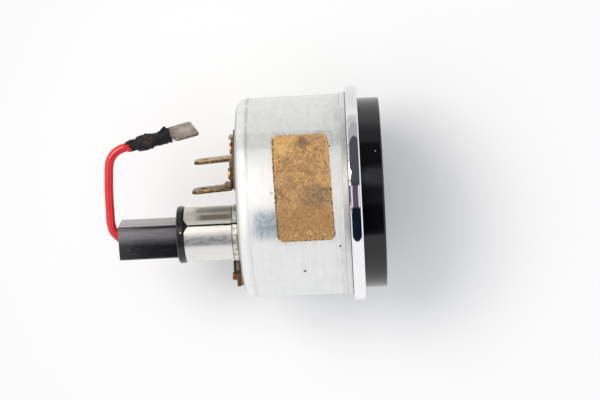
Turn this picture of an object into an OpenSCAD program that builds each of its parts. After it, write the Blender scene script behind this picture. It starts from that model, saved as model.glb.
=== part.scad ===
// Oil temperature gauge for a 52 mm panel opening, in millimetres.
// The gauge's axis is Y: the dial looks along -Y and the terminals stand out along +Y.
// +Z is 12 o'clock on the dial. The origin is the centre of the bezel's rear seat.

/* [Can] */
// Outer diameter of the drawn steel can, which is the panel opening's size
can_d = 52; // [52:0.5:80]
// Depth of the can behind the bezel's seat
can_depth = 28.1; // [28:0.1:60]
// Thickness of the can's sheet
can_wall = 0.8; // [0.6:0.1:1.2]
// Outside radius of the corner at the back of the can
can_corner = 2.7; // [2:0.1:4]
// Thickness of the flange turned out at the mouth of the can
can_flange_t = 0.65; // [0.5:0.05:0.9]

/* [Bezel] */
// How far the chromed bezel stands proud of the can all round
bezel_overhang = 1.95; // [1.7:0.05:4]
// Thickness of the bezel's sheet
bezel_wall = 0.5; // [0.4:0.05:0.6]
// Length of the skirt that hugs the can behind the bezel
skirt_l = 1.5; // [1:0.1:3]
// Thickness of the skirt
skirt_t = 0.45; // [0.3:0.05:0.6]
// Thickness of the rubber seal in the mouth of the can
seal_t = 0.55; // [0.3:0.05:1]

/* [Hood] */
// How far the side of the black front hood lies inside the bezel's edge
hood_inset = 3.3; // [3:0.1:6]
// Length of the hood in front of the bezel
hood_l = 5.6; // [4.5:0.1:12]
// Wall of the hood round the glass
hood_wall = 1.1; // [0.9:0.1:2]
// Thickness of the hood's flange inside the bezel
hood_flange_t = 0.8; // [0.6:0.1:1.2]
// Width of the hood's ledge in front of the glass
hood_ledge = 1.2; // [0.8:0.1:2]
// Thickness of the glass
glass_t = 1.5; // [1:0.1:2]

/* [Dial] */
// Distance from the bezel's seat back to the dial's face
dial_y = 3; // [2.6:0.1:5]
// Thickness of the dial
dial_t = 0.6; // [0.4:0.1:1]
// Distance between the two dial screws
dial_screw_span = 14.4; // [13:0.1:20]
// Length of the posts behind the dial
post_l = 3.2; // [2.5:0.1:5]
// Length of the light ring behind the dial
light_ring_l = 4.3; // [3:0.1:6]

/* [Pointer] */
// Length of the pointer from its pivot to its tip
pointer_l = 17.5; // [12:0.1:20]
// Length of the pointer's tail
tail_l = 5.5; // [4:0.1:8]
// Diameter of the cap over the pointer's hub
cap_d = 6.4; // [5:0.1:8]
// Diameter of the pointer's shaft
shaft_d = 1; // [0.8:0.1:1.4]
// Pointer's place at rest, in degrees to the left of 12 o'clock
rest_angle = 50; // [40:1:60]

/* [Movement] */
// Distance between the two frame pillars
pillar_span = 23; // [22:0.1:30]
// Angle of the pillars from the dial's horizontal
pillar_angle = 35; // [32:1:40]
// Diameter of the frame pillars
pillar_d = 3.2; // [2.8:0.1:4]
// Thickness of the brass front plate
front_plate_t = 0.8; // [0.6:0.1:1.2]
// Thickness of the brass rear plate
rear_plate_t = 1; // [0.8:0.1:1.4]
// Thickness of the board that carries the terminals
board_t = 1.5; // [1:0.1:2]
// Diameter of the round magnet on the shaft
magnet_d = 6.2; // [5:0.1:8]
// Length of the magnet
magnet_l = 3.6; // [2.5:0.1:3.7]

/* [Lamp] */
// Outer diameter of the split lamp tube
tube_d = 13.86; // [11.5:0.02:14.5]
// Wall of the lamp tube
tube_wall = 0.48; // [0.4:0.02:0.6]
// Length of the lamp tube behind the can
tube_l = 14.1; // [12:0.1:20]
// Direction of the lamp tube from the gauge's axis, in degrees from +X towards +Z
lamp_angle = 130.7; // [125:0.1:135]
// Direction of the tube's seam, in degrees from +Z towards +X
seam_angle = 18.4; // [0:0.1:40]
// Width of the seam
seam_w = 0.5; // [0.3:0.1:1]
// Length of the collar at the tube's root
collar_l = 1.7; // [1:0.1:3]
// Thickness of the holder's flange
holder_flange_t = 1.75; // [1.2:0.05:3]
// Width of the holder's block
block_w = 8.7; // [7.6:0.1:9.4]
// Depth of the holder's block
block_h = 9.4; // [8.8:0.1:10]
// Length of the holder's block
block_l = 15.1; // [12:0.1:20]
// Turn of the holder's block about the lamp's axis, in degrees
block_turn = 12.7; // [0:0.1:20]

/* [Terminals] */
// Width of the blade terminals
blade_w = 6.3; // [4.8:0.1:6.5]
// Thickness of the blade terminals
blade_t = 0.8; // [0.5:0.1:1]
// Length of the supply blade behind its base
supply_blade_l = 10.7; // [8:0.1:13]
// Length of the sender blade behind its base
sender_blade_l = 10.7; // [8:0.1:13]
// Turn of both blades about their rivets, in degrees
blade_turn = 7.5; // [0:0.5:15]
// Thickness of the insulating plate under the terminals
insulator_t = 1; // [0.8:0.1:2]
// Diameter of the rivets' shanks
rivet_d = 2; // [1.6:0.1:2.4]
// Diameter of the rivets' heads
rivet_head_d = 3.1; // [2.8:0.1:3.6]

/* [Label] */
// Length of the label round the can, measured flat across the can
label_w = 26.3; // [18:0.1:30]
// Height of the label along the can
label_h = 14.25; // [10:0.05:18]
// Thickness of the label
label_t = 0.15; // [0.1:0.01:0.2]

/* [Lead] */
// Diameter of the red wire
wire_d = 2.3; // [1.8:0.1:2.6]
// Length of the taped joint
tape_l = 11.6; // [9:0.1:14]
// Length of the tab that shows past the tape
tab_l = 6.6; // [5:0.1:8]
// Width of the tab
tab_w = 6.3; // [4.8:0.1:6.5]
// Thickness of the tab
tab_t = 0.8; // [0.5:0.1:1]

/* [Hidden] */

// Smoothness of the round parts
$fn = 96;
// How far a cutting shape runs past what it cuts
cut = 0.5;

// Clearances
slip = 0.05; // between parts that slide in or turn in each other
fit = 0.03; // round a shank in its hole
seat = 0.1; // round a part that drops into its seat
room = 0.3; // beside a part that moves freely

// The can and the stack of parts that the bezel grips, from its seat forwards
can_r = can_d / 2;
can_in_r = can_r - can_wall;
bezel_r = can_r + bezel_overhang;
flange_y = -bezel_wall - can_flange_t;
seal_y = flange_y - seal_t;
hood_flange_y = seal_y - hood_flange_t;
bezel_y = hood_flange_y - bezel_wall;
can_flange_r = bezel_r - bezel_wall - 0.25;
hood_flange_r = can_flange_r + 0.05;
rim_r = 0.6;
skirt_r = can_r - seat;
neck_r = skirt_r - 2 * seat;
neck_y = skirt_l + seat;
back_y = can_depth;
inside_y = back_y - can_wall;
back_r = can_r - can_corner;
inside_corner = can_corner - can_wall;

// Hood and glass
hood_r = bezel_r - hood_inset;
hood_y = hood_flange_y - hood_l - bezel_wall;
glass_r = hood_r - hood_wall - seat;
glass_y = seal_y - glass_t;
mouth_r = glass_r - hood_ledge;
seal_in_r = mouth_r + 0.3;

// Dial and the parts in front of and behind it
spacer_r = can_in_r - seat;
dial_r = spacer_r - 0.5;
dial_back_y = dial_y + dial_t;
dial_screw_r = 0.6;
dial_screw_head_r = 1.3;
post_r = 1.4;
front_plate_y = dial_back_y + post_l;
front_plate_back_y = front_plate_y + front_plate_t;

// Board and rear plate, which hang from the can's back
board_back_y = inside_y - seat;
board_y = board_back_y - board_t;
board_r = back_r - 0.8;
rear_plate_y = board_y - rear_plate_t;
pillar_r = pillar_d / 2;
pillar_at = pillar_span / 2;
pillar_spots = [for (side = [0, 180])
    [pillar_at * cos(pillar_angle + side), pillar_at * sin(pillar_angle + side)]];
arm_half_w = pillar_r + 0.8;
spigot_r = 0.95;
plate_screw_r = 0.75;
bearing_r = 1.58;
bearing_flange_r = 2.4;
bearing_flange_t = 0.5;
bearing_floor = 0.3;
end_play = 0.2;

// Magnet, former and the two crossed coils, which stand on the rear plate in a shield
magnet_r = magnet_d / 2;
former_wall = 1.2;
former_end = 2.9;
former_r = magnet_r + room + former_wall;
former_half_l = magnet_l / 2 + room + former_end;
coil_gap = 0.8;
coil_w = 1.7;
coil_t = 0.85;
coil_clear = 0.1;
coil_out_x = former_r + coil_clear + coil_t;
across_half_l = former_half_l + coil_clear;
upright_half_l = across_half_l + coil_t + coil_clear;
coils_half_l = upright_half_l + coil_t;
rib_r = 0.8;
rib_at = coil_gap + coil_w + rib_r + coil_clear;
magnet_y = rear_plate_y - coils_half_l - 1.8;
shield_wall = 0.5;
shield_r = norm([coil_out_x, coil_gap + coil_w]) + 1 + shield_wall;
shield_y = magnet_y - coils_half_l - 0.5;
shield_l = rear_plate_y - shield_y;

// Pointer
shaft_r = shaft_d / 2;
shaft_back_y = board_y - bearing_floor - end_play;
needle_y = dial_y - 2.1;
needle_t = 0.4;
hub_r = 1.5;
hub_l = 1.5;
hub_y = needle_y - 0.2;
cap_r = cap_d / 2;
cap_t = 1.1;

// Lamp tube and the holder that pushes into it
tube_r = tube_d / 2;
tube_in_r = tube_r - tube_wall;
bulb_r = tube_in_r - 1.35;
lamp_at = shield_r + 0.48 + bulb_r;
lamp_x = lamp_at * cos(lamp_angle);
lamp_z = lamp_at * sin(lamp_angle);
tube_end_y = back_y + tube_l;
tube_foot_r = tube_r + 1.5;
tube_foot_t = 0.5;
collar_t = 0.22;
notch_half_w = 1.8;
notch_depth = 1.3;
spigot_out_r = tube_in_r - slip;
spigot_wall = 0.8;
spigot_l = 8.25;
holder_y = tube_end_y + slip;
block_y = holder_y + holder_flange_t;
block_end_y = block_y + block_l;
holder_flange_r = tube_r + 0.37;
block_shift = [-0.65, -0.95];
wire_at = [lamp_x - 0.3, lamp_z - 1];
socket_floor_y = holder_y + 0.75;
wire_r = wire_d / 2;
hollow_r = wire_r + 1.45;
leaf_t = 0.3;
leaf_w = 3;
strip_t = leaf_t;
strip_w = 2.4;
tail_w = 1.2;
leaf_y = holder_y - 7.2;

// Bulb, pushed into the holder by its flat glass base
press_w = 2 * (spigot_out_r - spigot_wall - 0.9);
press_t = 2.4;
press_l = 7;
press_end_y = holder_y - 0.75;
press_y = press_end_y - press_l;
bulb_wall = 0.5;
bulb_l = 27.3;
bulb_tip_y = press_end_y - bulb_l;
leaf_x = press_t / 2 + seat;

// Terminals, from the can's back outwards, and their rivets
base_y = back_y + insulator_t;
base_back_y = base_y + blade_t;
rivet_r = rivet_d / 2;
rivet_head_r = rivet_head_d / 2;
rivet_head_t = 0.6;
bush_r = rivet_r + 1.2;
tag_t = 0.4;
tail_t = 0.5;
tag_r = rivet_r + 0.7;
tag_l = tag_r + 2.1;
supply_at = [13, 2.9];
sender_at = [6.3, 11.9];
// Place of the blade and of the base's free end, to either side of the rivet
supply_blade_x = -2.5;
supply_base_x = 3.2;
sender_blade_x = -3.5;
sender_base_x = 3.4;
blade_lean = 0.6;
earth_tag_in = 3.6;
earth_tag_out = 2.7;
earth_at = [-(back_r - earth_tag_out - 0.4), 0];
earth_tag_w = 6;
earth_pad_t = 1.3;
earth_tag_y = back_y + earth_pad_t;

// Label, low corner on the can's crown
label_x = -11.4;
label_y = 3.95;
label_skew = [0.8, 0.4];

// Lead: the wire's centreline by hand, from inside the block to inside the tape
wire_in_block = 1.3;
wire_points = [
    [-9.8, 58.2, 9.0], [-8.9, 59.1, 9.0], [-8.0, 60.0, 9.1],
    [-7.0, 60.8, 9.2], [-5.8, 61.2, 9.3], [-4.5, 61.4, 9.4],
    [-1.5, 61.4, 9.8], [1.5, 61.4, 10.2], [4.5, 61.3, 10.6],
    [7.2, 61.1, 11.0], [9.6, 60.9, 11.3], [11.2, 60.5, 11.5],
    [12.6, 59.6, 11.7], [13.6, 58.3, 11.9], [14.2, 56.8, 12.0],
    [14.5, 55.3, 12.0], [15.0, 53.0, 12.0], [15.5, 50.6, 12.0],
    [16.0, 48.4, 12.0],
];
tape_from = [14.4, 56.0, 12.0];
tape_turn = 12.5;
tape_r = 1.9;
tab_turn = 14.5;
tab_droop = 21;
tab_roll = 51.9;

// Points of an arc about (x, y), from one angle to another
function arc(x, y, r, from, to, steps = 8) =
    [for (i = [0:steps]) let (a = from + (to - from) * i / steps)
        [x + r * cos(a), y + r * sin(a)]];

function unit(v) = v / norm(v);

// Points of one corner rounded to radius r, between the points before and after it
function corner(before, at, after, r, steps = 6) =
    let (
        u = unit(before - at),
        v = unit(after - at),
        half = acos(u * v) / 2,
        centre = at + unit(u + v) * r / sin(half),
        from = at + u * r / tan(half) - centre,
        to = at + v * r / tan(half) - centre
    )
    [for (i = [0:steps]) centre + unit(from * (1 - i / steps) + to * i / steps) * r];

// An outline with each of its corners rounded to radius r
function rounded(points, r) =
    let (n = len(points))
    [for (i = [0:n - 1])
        each corner(points[(i + n - 1) % n], points[i], points[(i + 1) % n], r)];

// A bar with round ends, centred on the origin and lying along x
function bar(half_l, half_w) = concat(
    arc(half_l - half_w, 0, half_w, -90, 90, 12),
    arc(half_w - half_l, 0, half_w, 90, 270, 12)
);

function rectangle(x0, x1, y0, y1) = [[x0, y0], [x1, y0], [x1, y1], [x0, y1]];

// A route with each of its bends rounded to radius r
function bent(points, r) =
    let (last = len(points) - 1)
    concat(
        [points[0]],
        [for (i = [1:last - 1]) each corner(points[i - 1], points[i], points[i + 1], r, 4)],
        [points[last]]
    );

// Ring of points square to a route at its point i, level with the direction flat
function ring_points(route, i, r, sides, flat) =
    let (
        last = len(route) - 1,
        along = unit(route[min(i + 1, last)] - route[max(i - 1, 0)]),
        side = unit(cross(along, flat)),
        up = cross(side, along)
    )
    [for (k = [0:sides - 1])
        let (a = 360 * k / sides) route[i] + r * (side * cos(a) + up * sin(a))];

// Turned part: points are (radius, distance along the gauge's axis)
module turned(points) {
    rotate([-90, 0, 0]) mirror([0, 1, 0]) rotate_extrude() polygon(points);
}

// Round bar along the gauge's axis, from y for a length of l
module rod(r, y, l, x = 0, z = 0) {
    translate([x, y, z]) rotate([-90, 0, 0]) cylinder(r = r, h = l);
}

module tube(outer_r, inner_r, y, l, x = 0, z = 0) {
    difference() {
        rod(outer_r, y, l, x, z);
        rod(inner_r, y - cut, l + 2 * cut, x, z);
    }
}

// Plate of thickness t across the gauge's axis, from a drawing in X and Z
module plate(y, t) {
    translate([0, y + t, 0]) rotate([90, 0, 0]) linear_extrude(t) children();
}

module block(x0, x1, y0, y1, z0, z1) {
    translate([x0, y0, z0]) cube([x1 - x0, y1 - y0, z1 - z0]);
}

// Screw with a slotted head at its front, along the gauge's axis
module slotted_screw(head_r, head_t, shank_r, shank_l, x, y, z) {
    difference() {
        union() {
            rod(head_r, y - head_t, head_t, x, z);
            rod(shank_r, y - seat, shank_l + seat, x, z);
        }
        block(x - head_r - cut, x + head_r + cut, y - head_t - cut, y - head_t / 2,
            z - 0.2, z + 0.2);
    }
}

// Tube of radius r swept along a route
module swept(route, r, sides, flat = [0, 0, 1]) {
    count = len(route);
    rings = [for (i = [0:count - 1]) each ring_points(route, i, r, sides, flat)];
    start_cap = [[for (k = [sides - 1:-1:0]) k]];
    end_cap = [[for (k = [0:sides - 1]) (count - 1) * sides + k]];
    wall = [for (i = [0:count - 2], k = [0:sides - 1])
        let (a = i * sides + k, b = i * sides + (k + 1) % sides)
        each [[a, b, a + sides], [b, b + sides, a + sides]]];
    polyhedron(points = rings, faces = concat(start_cap, end_cap, wall));
}

// Rivet with its domed head behind y and its clinched tail in front of tail_y
module rivet(at, y, tail_y, head_r = rivet_head_r, head_t = rivet_head_t) {
    dome_r = 0.4;
    translate([at[0], 0, at[1]]) {
        turned([
            [0, tail_y], [rivet_head_r, tail_y], [rivet_head_r, tail_y - 0.3],
            [rivet_head_r - 0.4, tail_y - tail_t], [0, tail_y - tail_t],
        ]);
        rod(rivet_r, tail_y - seat, y - tail_y + 2 * seat);
        turned(concat(
            [[0, y], [head_r, y]],
            arc(head_r - dome_r, y + head_t - dome_r, dome_r, 0, 90, 5),
            [[0, y + head_t]]
        ));
    }
}

// Drawn steel can with its mouth flange, and the holes in its back
module case_can() {
    color([0.84, 0.85, 0.86]) difference() {
        turned(concat(
            [[can_in_r, flange_y], [can_flange_r, flange_y],
                [can_flange_r, -bezel_wall], [neck_r, -bezel_wall],
                [neck_r, neck_y], [can_r, neck_y]],
            arc(back_r, back_y - can_corner, can_corner, 0, 90),
            [[0, back_y], [0, inside_y]],
            arc(back_r, back_y - can_corner, inside_corner, 90, 0)
        ));
        rod(tube_r + slip, inside_y - cut, can_wall + 2 * cut, lamp_x, lamp_z);
        for (at = [supply_at, sender_at])
            rod(bush_r + slip, inside_y - cut, can_wall + 2 * cut, at[0], at[1]);
        rod(rivet_r + fit, inside_y - cut, can_wall + 2 * cut, earth_at[0], earth_at[1]);
    }
}

// Chromed sheet ring, spun over the can's flange, with a skirt on the can
module chrome_bezel() {
    lip_r = hood_r + seat;
    back_rim_r = 0.35;
    wall_r = bezel_r - bezel_wall;
    color([0.93, 0.94, 0.95]) turned(concat(
        [[lip_r, bezel_y]],
        arc(bezel_r - rim_r, bezel_y + rim_r, rim_r, -90, 0, 6),
        arc(bezel_r - back_rim_r, -back_rim_r, back_rim_r, 0, 90, 5),
        [[skirt_r + skirt_t, 0], [skirt_r + skirt_t, skirt_l],
            [skirt_r, skirt_l], [skirt_r, -bezel_wall],
            [wall_r, -bezel_wall], [wall_r, hood_flange_y],
            [lip_r, hood_flange_y]]
    ));
}

// Moulded black hood that holds the glass
module front_hood() {
    inner_rim_r = 0.3;
    ledge_t = 0.8;
    color([0.1, 0.1, 0.11]) turned(concat(
        [[glass_r + seat, seal_y], [hood_flange_r, seal_y],
            [hood_flange_r, hood_flange_y], [hood_r, hood_flange_y]],
        arc(hood_r - rim_r, hood_y + rim_r, rim_r, 0, -90, 6),
        arc(glass_r + inner_rim_r, hood_y + inner_rim_r, inner_rim_r, -90, -180, 4),
        [[mouth_r, glass_y - ledge_t], [mouth_r, glass_y], [glass_r + seat, glass_y]]
    ));
}

module front_glass() {
    color([0.85, 0.9, 0.9, 0.4]) rod(glass_r, glass_y, glass_t);
}

// Rubber ring between the hood and the can's flange
module mouth_seal() {
    color([0.12, 0.12, 0.12]) tube(can_flange_r, seal_in_r, seal_y, seal_t);
}

// Black ring from the seal to the dial, with a sloped inner wall
module dial_spacer() {
    color([0.08, 0.08, 0.09]) turned([
        [seal_in_r, flange_y], [spacer_r, flange_y],
        [spacer_r, dial_y], [mouth_r - 0.2, dial_y],
    ]);
}

module dial_plate() {
    color([0.07, 0.07, 0.08]) difference() {
        rod(dial_r, dial_y, dial_t);
        rod(shaft_r + 0.5, dial_y - cut, dial_t + 2 * cut);
        for (side = [-1, 1])
            rod(dial_screw_r + seat, dial_y - cut, dial_t + 2 * cut,
                side * dial_screw_span / 2);
    }
}

module dial_screws() {
    color([0.15, 0.15, 0.16]) for (side = [-1, 1])
        slotted_screw(dial_screw_head_r, 0.5, dial_screw_r, post_l - 0.4,
            side * dial_screw_span / 2, dial_y, 0);
}

module dial_posts() {
    color([0.8, 0.68, 0.38]) for (side = [-1, 1])
        tube(post_r, dial_screw_r + fit, dial_back_y, post_l, side * dial_screw_span / 2);
}

// Clear ring that spreads the lamp's light behind the dial's edge
module light_ring() {
    color([0.75, 0.9, 0.8]) tube(spacer_r - 0.2, spacer_r - 2.1, dial_back_y + slip, light_ring_l);
}

// Brass plate with an arm to each pillar and to each dial post
module front_plate() {
    color([0.8, 0.68, 0.38]) difference() {
        plate(front_plate_y, front_plate_t) {
            circle(r = 5);
            rotate(pillar_angle) polygon(bar(pillar_at + arm_half_w, arm_half_w));
            polygon(bar(dial_screw_span / 2 + 2.2, 2.2));
        }
        rod(bearing_r + fit, front_plate_y - cut, front_plate_t + 2 * cut);
        for (at = pillar_spots)
            rod(plate_screw_r + fit, front_plate_y - cut, front_plate_t + 2 * cut, at[0], at[1]);
    }
}

// Turned pillars, tapped at the front and riveted through the board at the back
module frame_pillars() {
    color([0.8, 0.68, 0.38]) for (at = pillar_spots) difference() {
        union() {
            rod(pillar_r, front_plate_back_y, rear_plate_y - front_plate_back_y, at[0], at[1]);
            rod(spigot_r, rear_plate_y - seat, board_back_y - rear_plate_y, at[0], at[1]);
        }
        rod(plate_screw_r + fit, front_plate_back_y - cut, 4 + cut, at[0], at[1]);
    }
}

module rear_plate() {
    color([0.8, 0.68, 0.38]) difference() {
        plate(rear_plate_y, rear_plate_t) {
            circle(r = shield_r + 0.8);
            rotate(pillar_angle) polygon(bar(pillar_at + arm_half_w, arm_half_w));
        }
        rod(bulb_r + 4 * room, rear_plate_y - cut, rear_plate_t + 2 * cut, lamp_x, lamp_z);
        rod(bearing_r + fit, rear_plate_y - cut, rear_plate_t + 2 * cut);
        for (at = pillar_spots)
            rod(spigot_r + fit, rear_plate_y - cut, rear_plate_t + 2 * cut, at[0], at[1]);
    }
}

module plate_screws() {
    color([0.75, 0.76, 0.78]) for (at = pillar_spots)
        slotted_screw(1.5, 0.9, plate_screw_r, 3.4, at[0], front_plate_y, at[1]);
}

module front_bearing() {
    color([0.72, 0.6, 0.3]) difference() {
        union() {
            rod(bearing_flange_r, front_plate_y - bearing_flange_t, bearing_flange_t);
            rod(bearing_r, front_plate_y - seat, front_plate_t + seat);
        }
        rod(shaft_r + slip, front_plate_y - 2, 4);
    }
}

// Blind bush in the rear plate that takes the shaft's end
module rear_bearing() {
    color([0.72, 0.6, 0.3]) difference() {
        union() {
            rod(bearing_flange_r, rear_plate_y - bearing_flange_t, bearing_flange_t);
            rod(bearing_r, rear_plate_y - seat, rear_plate_t);
        }
        rod(shaft_r + slip, rear_plate_y - 2, rear_plate_t + 2 - bearing_floor);
    }
}

module magnetic_shield() {
    color([0.62, 0.63, 0.64]) tube(shield_r, shield_r - shield_wall, shield_y, shield_l);
}

// Half of the moulded coil former, with a rib at each corner between the coils
module former_half(y, l, rib_l) {
    difference() {
        union() {
            rod(former_r, y, l);
            for (x = [-rib_at, rib_at], z = [-rib_at, rib_at]) rod(rib_r, y, rib_l, x, z);
        }
        rod(magnet_r + room, magnet_y - magnet_l / 2 - room, magnet_l + 2 * room);
        rod(shaft_r + 0.4, y - cut, l + 2 * cut);
    }
}

module former_front() {
    color([0.85, 0.82, 0.7])
        former_half(magnet_y - former_half_l, former_half_l - slip, former_half_l - slip);
}

module former_rear() {
    color([0.85, 0.82, 0.7])
        former_half(magnet_y + slip, former_half_l - slip, rear_plate_y - magnet_y - slip);
}

// One bundle of a coil: a closed frame in the X-Y plane, to one side of the shaft
module coil_bundle(half_l, side) {
    in_x = former_r + coil_clear;
    low_z = side > 0 ? coil_gap : -coil_gap - coil_w;
    translate([0, magnet_y, low_z]) linear_extrude(coil_w) difference() {
        polygon(rectangle(-coil_out_x, coil_out_x, -half_l - coil_t, half_l + coil_t));
        polygon(rectangle(-in_x, in_x, -half_l, half_l));
    }
}

module coil_across() {
    color([0.72, 0.33, 0.16]) for (side = [-1, 1]) coil_bundle(across_half_l, side);
}

module coil_upright() {
    color([0.66, 0.28, 0.14]) rotate([0, 90, 0])
        for (side = [-1, 1]) coil_bundle(upright_half_l, side);
}

// Hard paper board behind the movement, notched for the lamp
module inner_board() {
    notch_r = tube_foot_r + 0.5;
    color([0.42, 0.26, 0.14]) difference() {
        rod(board_r, board_y, board_t);
        rod(notch_r, board_y - cut, board_t + 2 * cut, lamp_x, lamp_z);
        rotate([0, -lamp_angle, 0]) block(lamp_at, board_r + cut, board_y - cut,
            board_back_y + cut, -notch_r + 1, notch_r - 1);
        for (at = pillar_spots)
            rod(spigot_r + fit, board_y - cut, board_t + 2 * cut, at[0], at[1]);
        for (at = [supply_at, sender_at, earth_at])
            rod(rivet_r + fit, board_y - cut, board_t + 2 * cut, at[0], at[1]);
    }
}

// Resistor that sets the pointer's reading, lifted off the board by its bent leads
module trim_resistor() {
    lift = 1.7;
    at = [4, board_y - lift, -14];
    color([0.7, 0.6, 0.45]) {
        translate(at - [3.5, 0, 0]) rotate([0, 90, 0]) cylinder(r = 1.3, h = 7);
        for (side = [-1, 1]) swept(bent([
            at + [side * 3.4, 0, 0], at + [side * 5, 0, 0], at + [side * 5, lift - slip, 0],
        ], 0.6), 0.3, 8);
    }
}

// Three enamelled wires from the coils to the solder tags
module inner_leads() {
    lead_r = 0.25;
    bend_r = 0.6;
    turn_y = shield_y - 0.5;
    tag_y = board_y - tag_t - lead_r / 2;
    across_y = magnet_y - across_half_l - coil_t - slip;
    upright_y = magnet_y - coils_half_l - slip;
    side_x = coil_out_x - coil_t / 2;
    out_x = shield_r + 1;
    color([0.6, 0.25, 0.12]) {
        swept(bent([
            [side_x, across_y, 1.6], [side_x, turn_y, 1.6], [out_x, turn_y, 2.2],
            [supply_at[0] - 2.4, tag_y, supply_at[1] - 0.5],
        ], bend_r), lead_r, 8);
        swept(bent([
            [1.6, upright_y, side_x], [1.6, turn_y, side_x], [3.4, turn_y, out_x],
            [sender_at[0] - 1.2, tag_y, sender_at[1] - 2.2],
        ], bend_r), lead_r, 8, [1, 0, 0]);
        swept(bent([
            [-side_x, across_y, -1.6], [-side_x, turn_y, -1.6], [-out_x, turn_y, -2.4],
            [earth_at[0] + 2.6, tag_y, 0],
        ], bend_r), lead_r, 8);
    }
}

// Tinned tags under the rivets' tails, each with an ear towards the middle
module solder_tags() {
    color([0.7, 0.69, 0.64]) for (at = [supply_at, sender_at, earth_at])
        difference() {
            translate([at[0], 0, at[1]])
                rotate([0, -atan2(-at[1], -at[0]), 0])
                    plate(board_y - tag_t, tag_t) {
                        circle(r = tag_r);
                        polygon(rounded(rectangle(0, tag_l, -0.8, 0.8), 0.4));
                    }
            rod(rivet_r + fit, board_y - tag_t - cut, tag_t + 2 * cut, at[0], at[1]);
        }
}

// L-shaped brass blade: its base lies under the rivet, its tip is chamfered, and
// the base's free end is turned up by a lip
module blade_terminal(at, blade_x, base_x, blade_l, root_t, root_l, lip) {
    heel_r = 1;
    toe_r = 0.3;
    half_w = blade_w / 2;
    tip_in = 1.2;
    hole_in = 3;
    hole_r = 0.8;
    in_x = blade_x - blade_t / 2;
    out_x = blade_x + blade_t / 2;
    translate([at[0], base_y, at[1]]) rotate([0, -blade_turn, 0]) difference() {
        intersection() {
            translate([0, 0, -half_w]) linear_extrude(blade_w) polygon(concat(
                arc(in_x + heel_r, heel_r, heel_r, -90, -180, 6),
                [[in_x - blade_lean, blade_l], [out_x - blade_lean, blade_l],
                    [out_x, root_l], [out_x + root_t, root_l - 0.2]],
                arc(out_x + root_t + toe_r, blade_t + toe_r, toe_r, 180, 270, 4),
                [[base_x - 0.5, blade_t], [base_x - 0.2, blade_t + lip],
                    [base_x + 0.2, blade_t + lip], [base_x, 0]]
            ));
            translate([in_x - 2, 0, 0]) rotate([90, 0, 90]) linear_extrude(base_x - in_x + 4)
                polygon([
                    [-cut, -half_w], [blade_l - tip_in, -half_w], [blade_l, 1 - half_w],
                    [blade_l, half_w - 1], [blade_l - tip_in, half_w], [-cut, half_w],
                ]);
        }
        translate([in_x - 2, blade_l - hole_in, 0]) rotate([0, 90, 0])
            cylinder(r = hole_r, h = blade_t + 4);
        rod(rivet_r + fit, -cut, blade_t + 2 * cut);
    }
}

module supply_terminal() {
    color([0.55, 0.45, 0.3])
        blade_terminal(supply_at, supply_blade_x, supply_base_x, supply_blade_l, 0, 1.4, 0.6);
}

// The sender's blade is doubled at its root
module sender_terminal() {
    color([0.5, 0.38, 0.25])
        blade_terminal(sender_at, sender_blade_x, sender_base_x, sender_blade_l, 0.7, 2.7, 0.05);
}

// One hard paper plate under both terminals
module terminal_insulator() {
    outline = [
        [2.1, 15.6], [9.4, 15.6], [17.7, 7.2], [17.7, -1.2], [9.6, -1.2], [2.1, 8.2],
    ];
    color([0.36, 0.24, 0.15]) difference() {
        plate(back_y, insulator_t) polygon(rounded(outline, 1.5));
        for (at = [supply_at, sender_at])
            rod(rivet_r + fit, back_y - cut, insulator_t + 2 * cut, at[0], at[1]);
    }
}

// Insulating bushes round the two live rivets, in the can's back
module terminal_bushes() {
    color([0.3, 0.2, 0.13]) for (at = [supply_at, sender_at])
        tube(bush_r, rivet_r + fit, board_back_y + fit, back_y - board_back_y - 2 * fit,
            at[0], at[1]);
}

module supply_rivet() {
    color([0.6, 0.36, 0.22]) rivet(supply_at, base_back_y, board_y - tag_t);
}

module sender_rivet() {
    color([0.6, 0.36, 0.22]) rivet(sender_at, base_back_y, board_y - tag_t);
}

// Plate under the earth rivet, drawn in from the tag's outline by an inset
module foot_plate(y, t, inset) {
    difference() {
        plate(y, t) translate(earth_at) polygon(rounded(rectangle(
            inset - earth_tag_out, earth_tag_in - inset,
            inset - earth_tag_w / 2, earth_tag_w / 2 - inset), 0.8));
        rod(rivet_r + fit, y - cut, t + 2 * cut, earth_at[0], earth_at[1]);
    }
}

// Brown foot riveted to the can's back, the gauge's earth
module earth_tag() {
    color([0.45, 0.32, 0.2]) foot_plate(earth_tag_y, blade_t, 0);
}

module earth_pad() {
    color([0.4, 0.3, 0.2]) foot_plate(back_y, earth_pad_t, 0.3);
}

// The earth rivet is peened over in a tall, narrow head
module earth_rivet() {
    color([0.6, 0.36, 0.22])
        rivet(earth_at, earth_tag_y + blade_t, board_y - tag_t, rivet_r + 0.1, 1.3);
}

// Slot along the tube's seam, from y to past the tube's end
module seam_cut(y) {
    translate([lamp_x, 0, lamp_z]) rotate([0, seam_angle, 0])
        block(-seam_w / 2, seam_w / 2, y, tube_end_y + cut, tube_in_r / 2, tube_r + 2);
}

// Rolled tube, split along its seam, with a foot inside the can and a notch at its end
module lamp_tube() {
    color([0.86, 0.86, 0.85]) difference() {
        union() {
            tube(tube_r, tube_in_r, inside_y - tube_foot_t, tube_end_y - inside_y + tube_foot_t,
                lamp_x, lamp_z);
            tube(tube_foot_r, tube_in_r + tube_wall / 2, inside_y - tube_foot_t, tube_foot_t,
                lamp_x, lamp_z);
        }
        seam_cut(back_y);
        translate([lamp_x, tube_end_y, lamp_z]) rotate([0, seam_angle, 0])
            translate([0, 0, tube_in_r / 2]) linear_extrude(tube_r)
                polygon([
                    [-notch_half_w, cut / 4], [-notch_half_w, 0], [0, -notch_depth],
                    [notch_half_w, 0], [notch_half_w, cut / 4],
                ]);
    }
}

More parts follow.
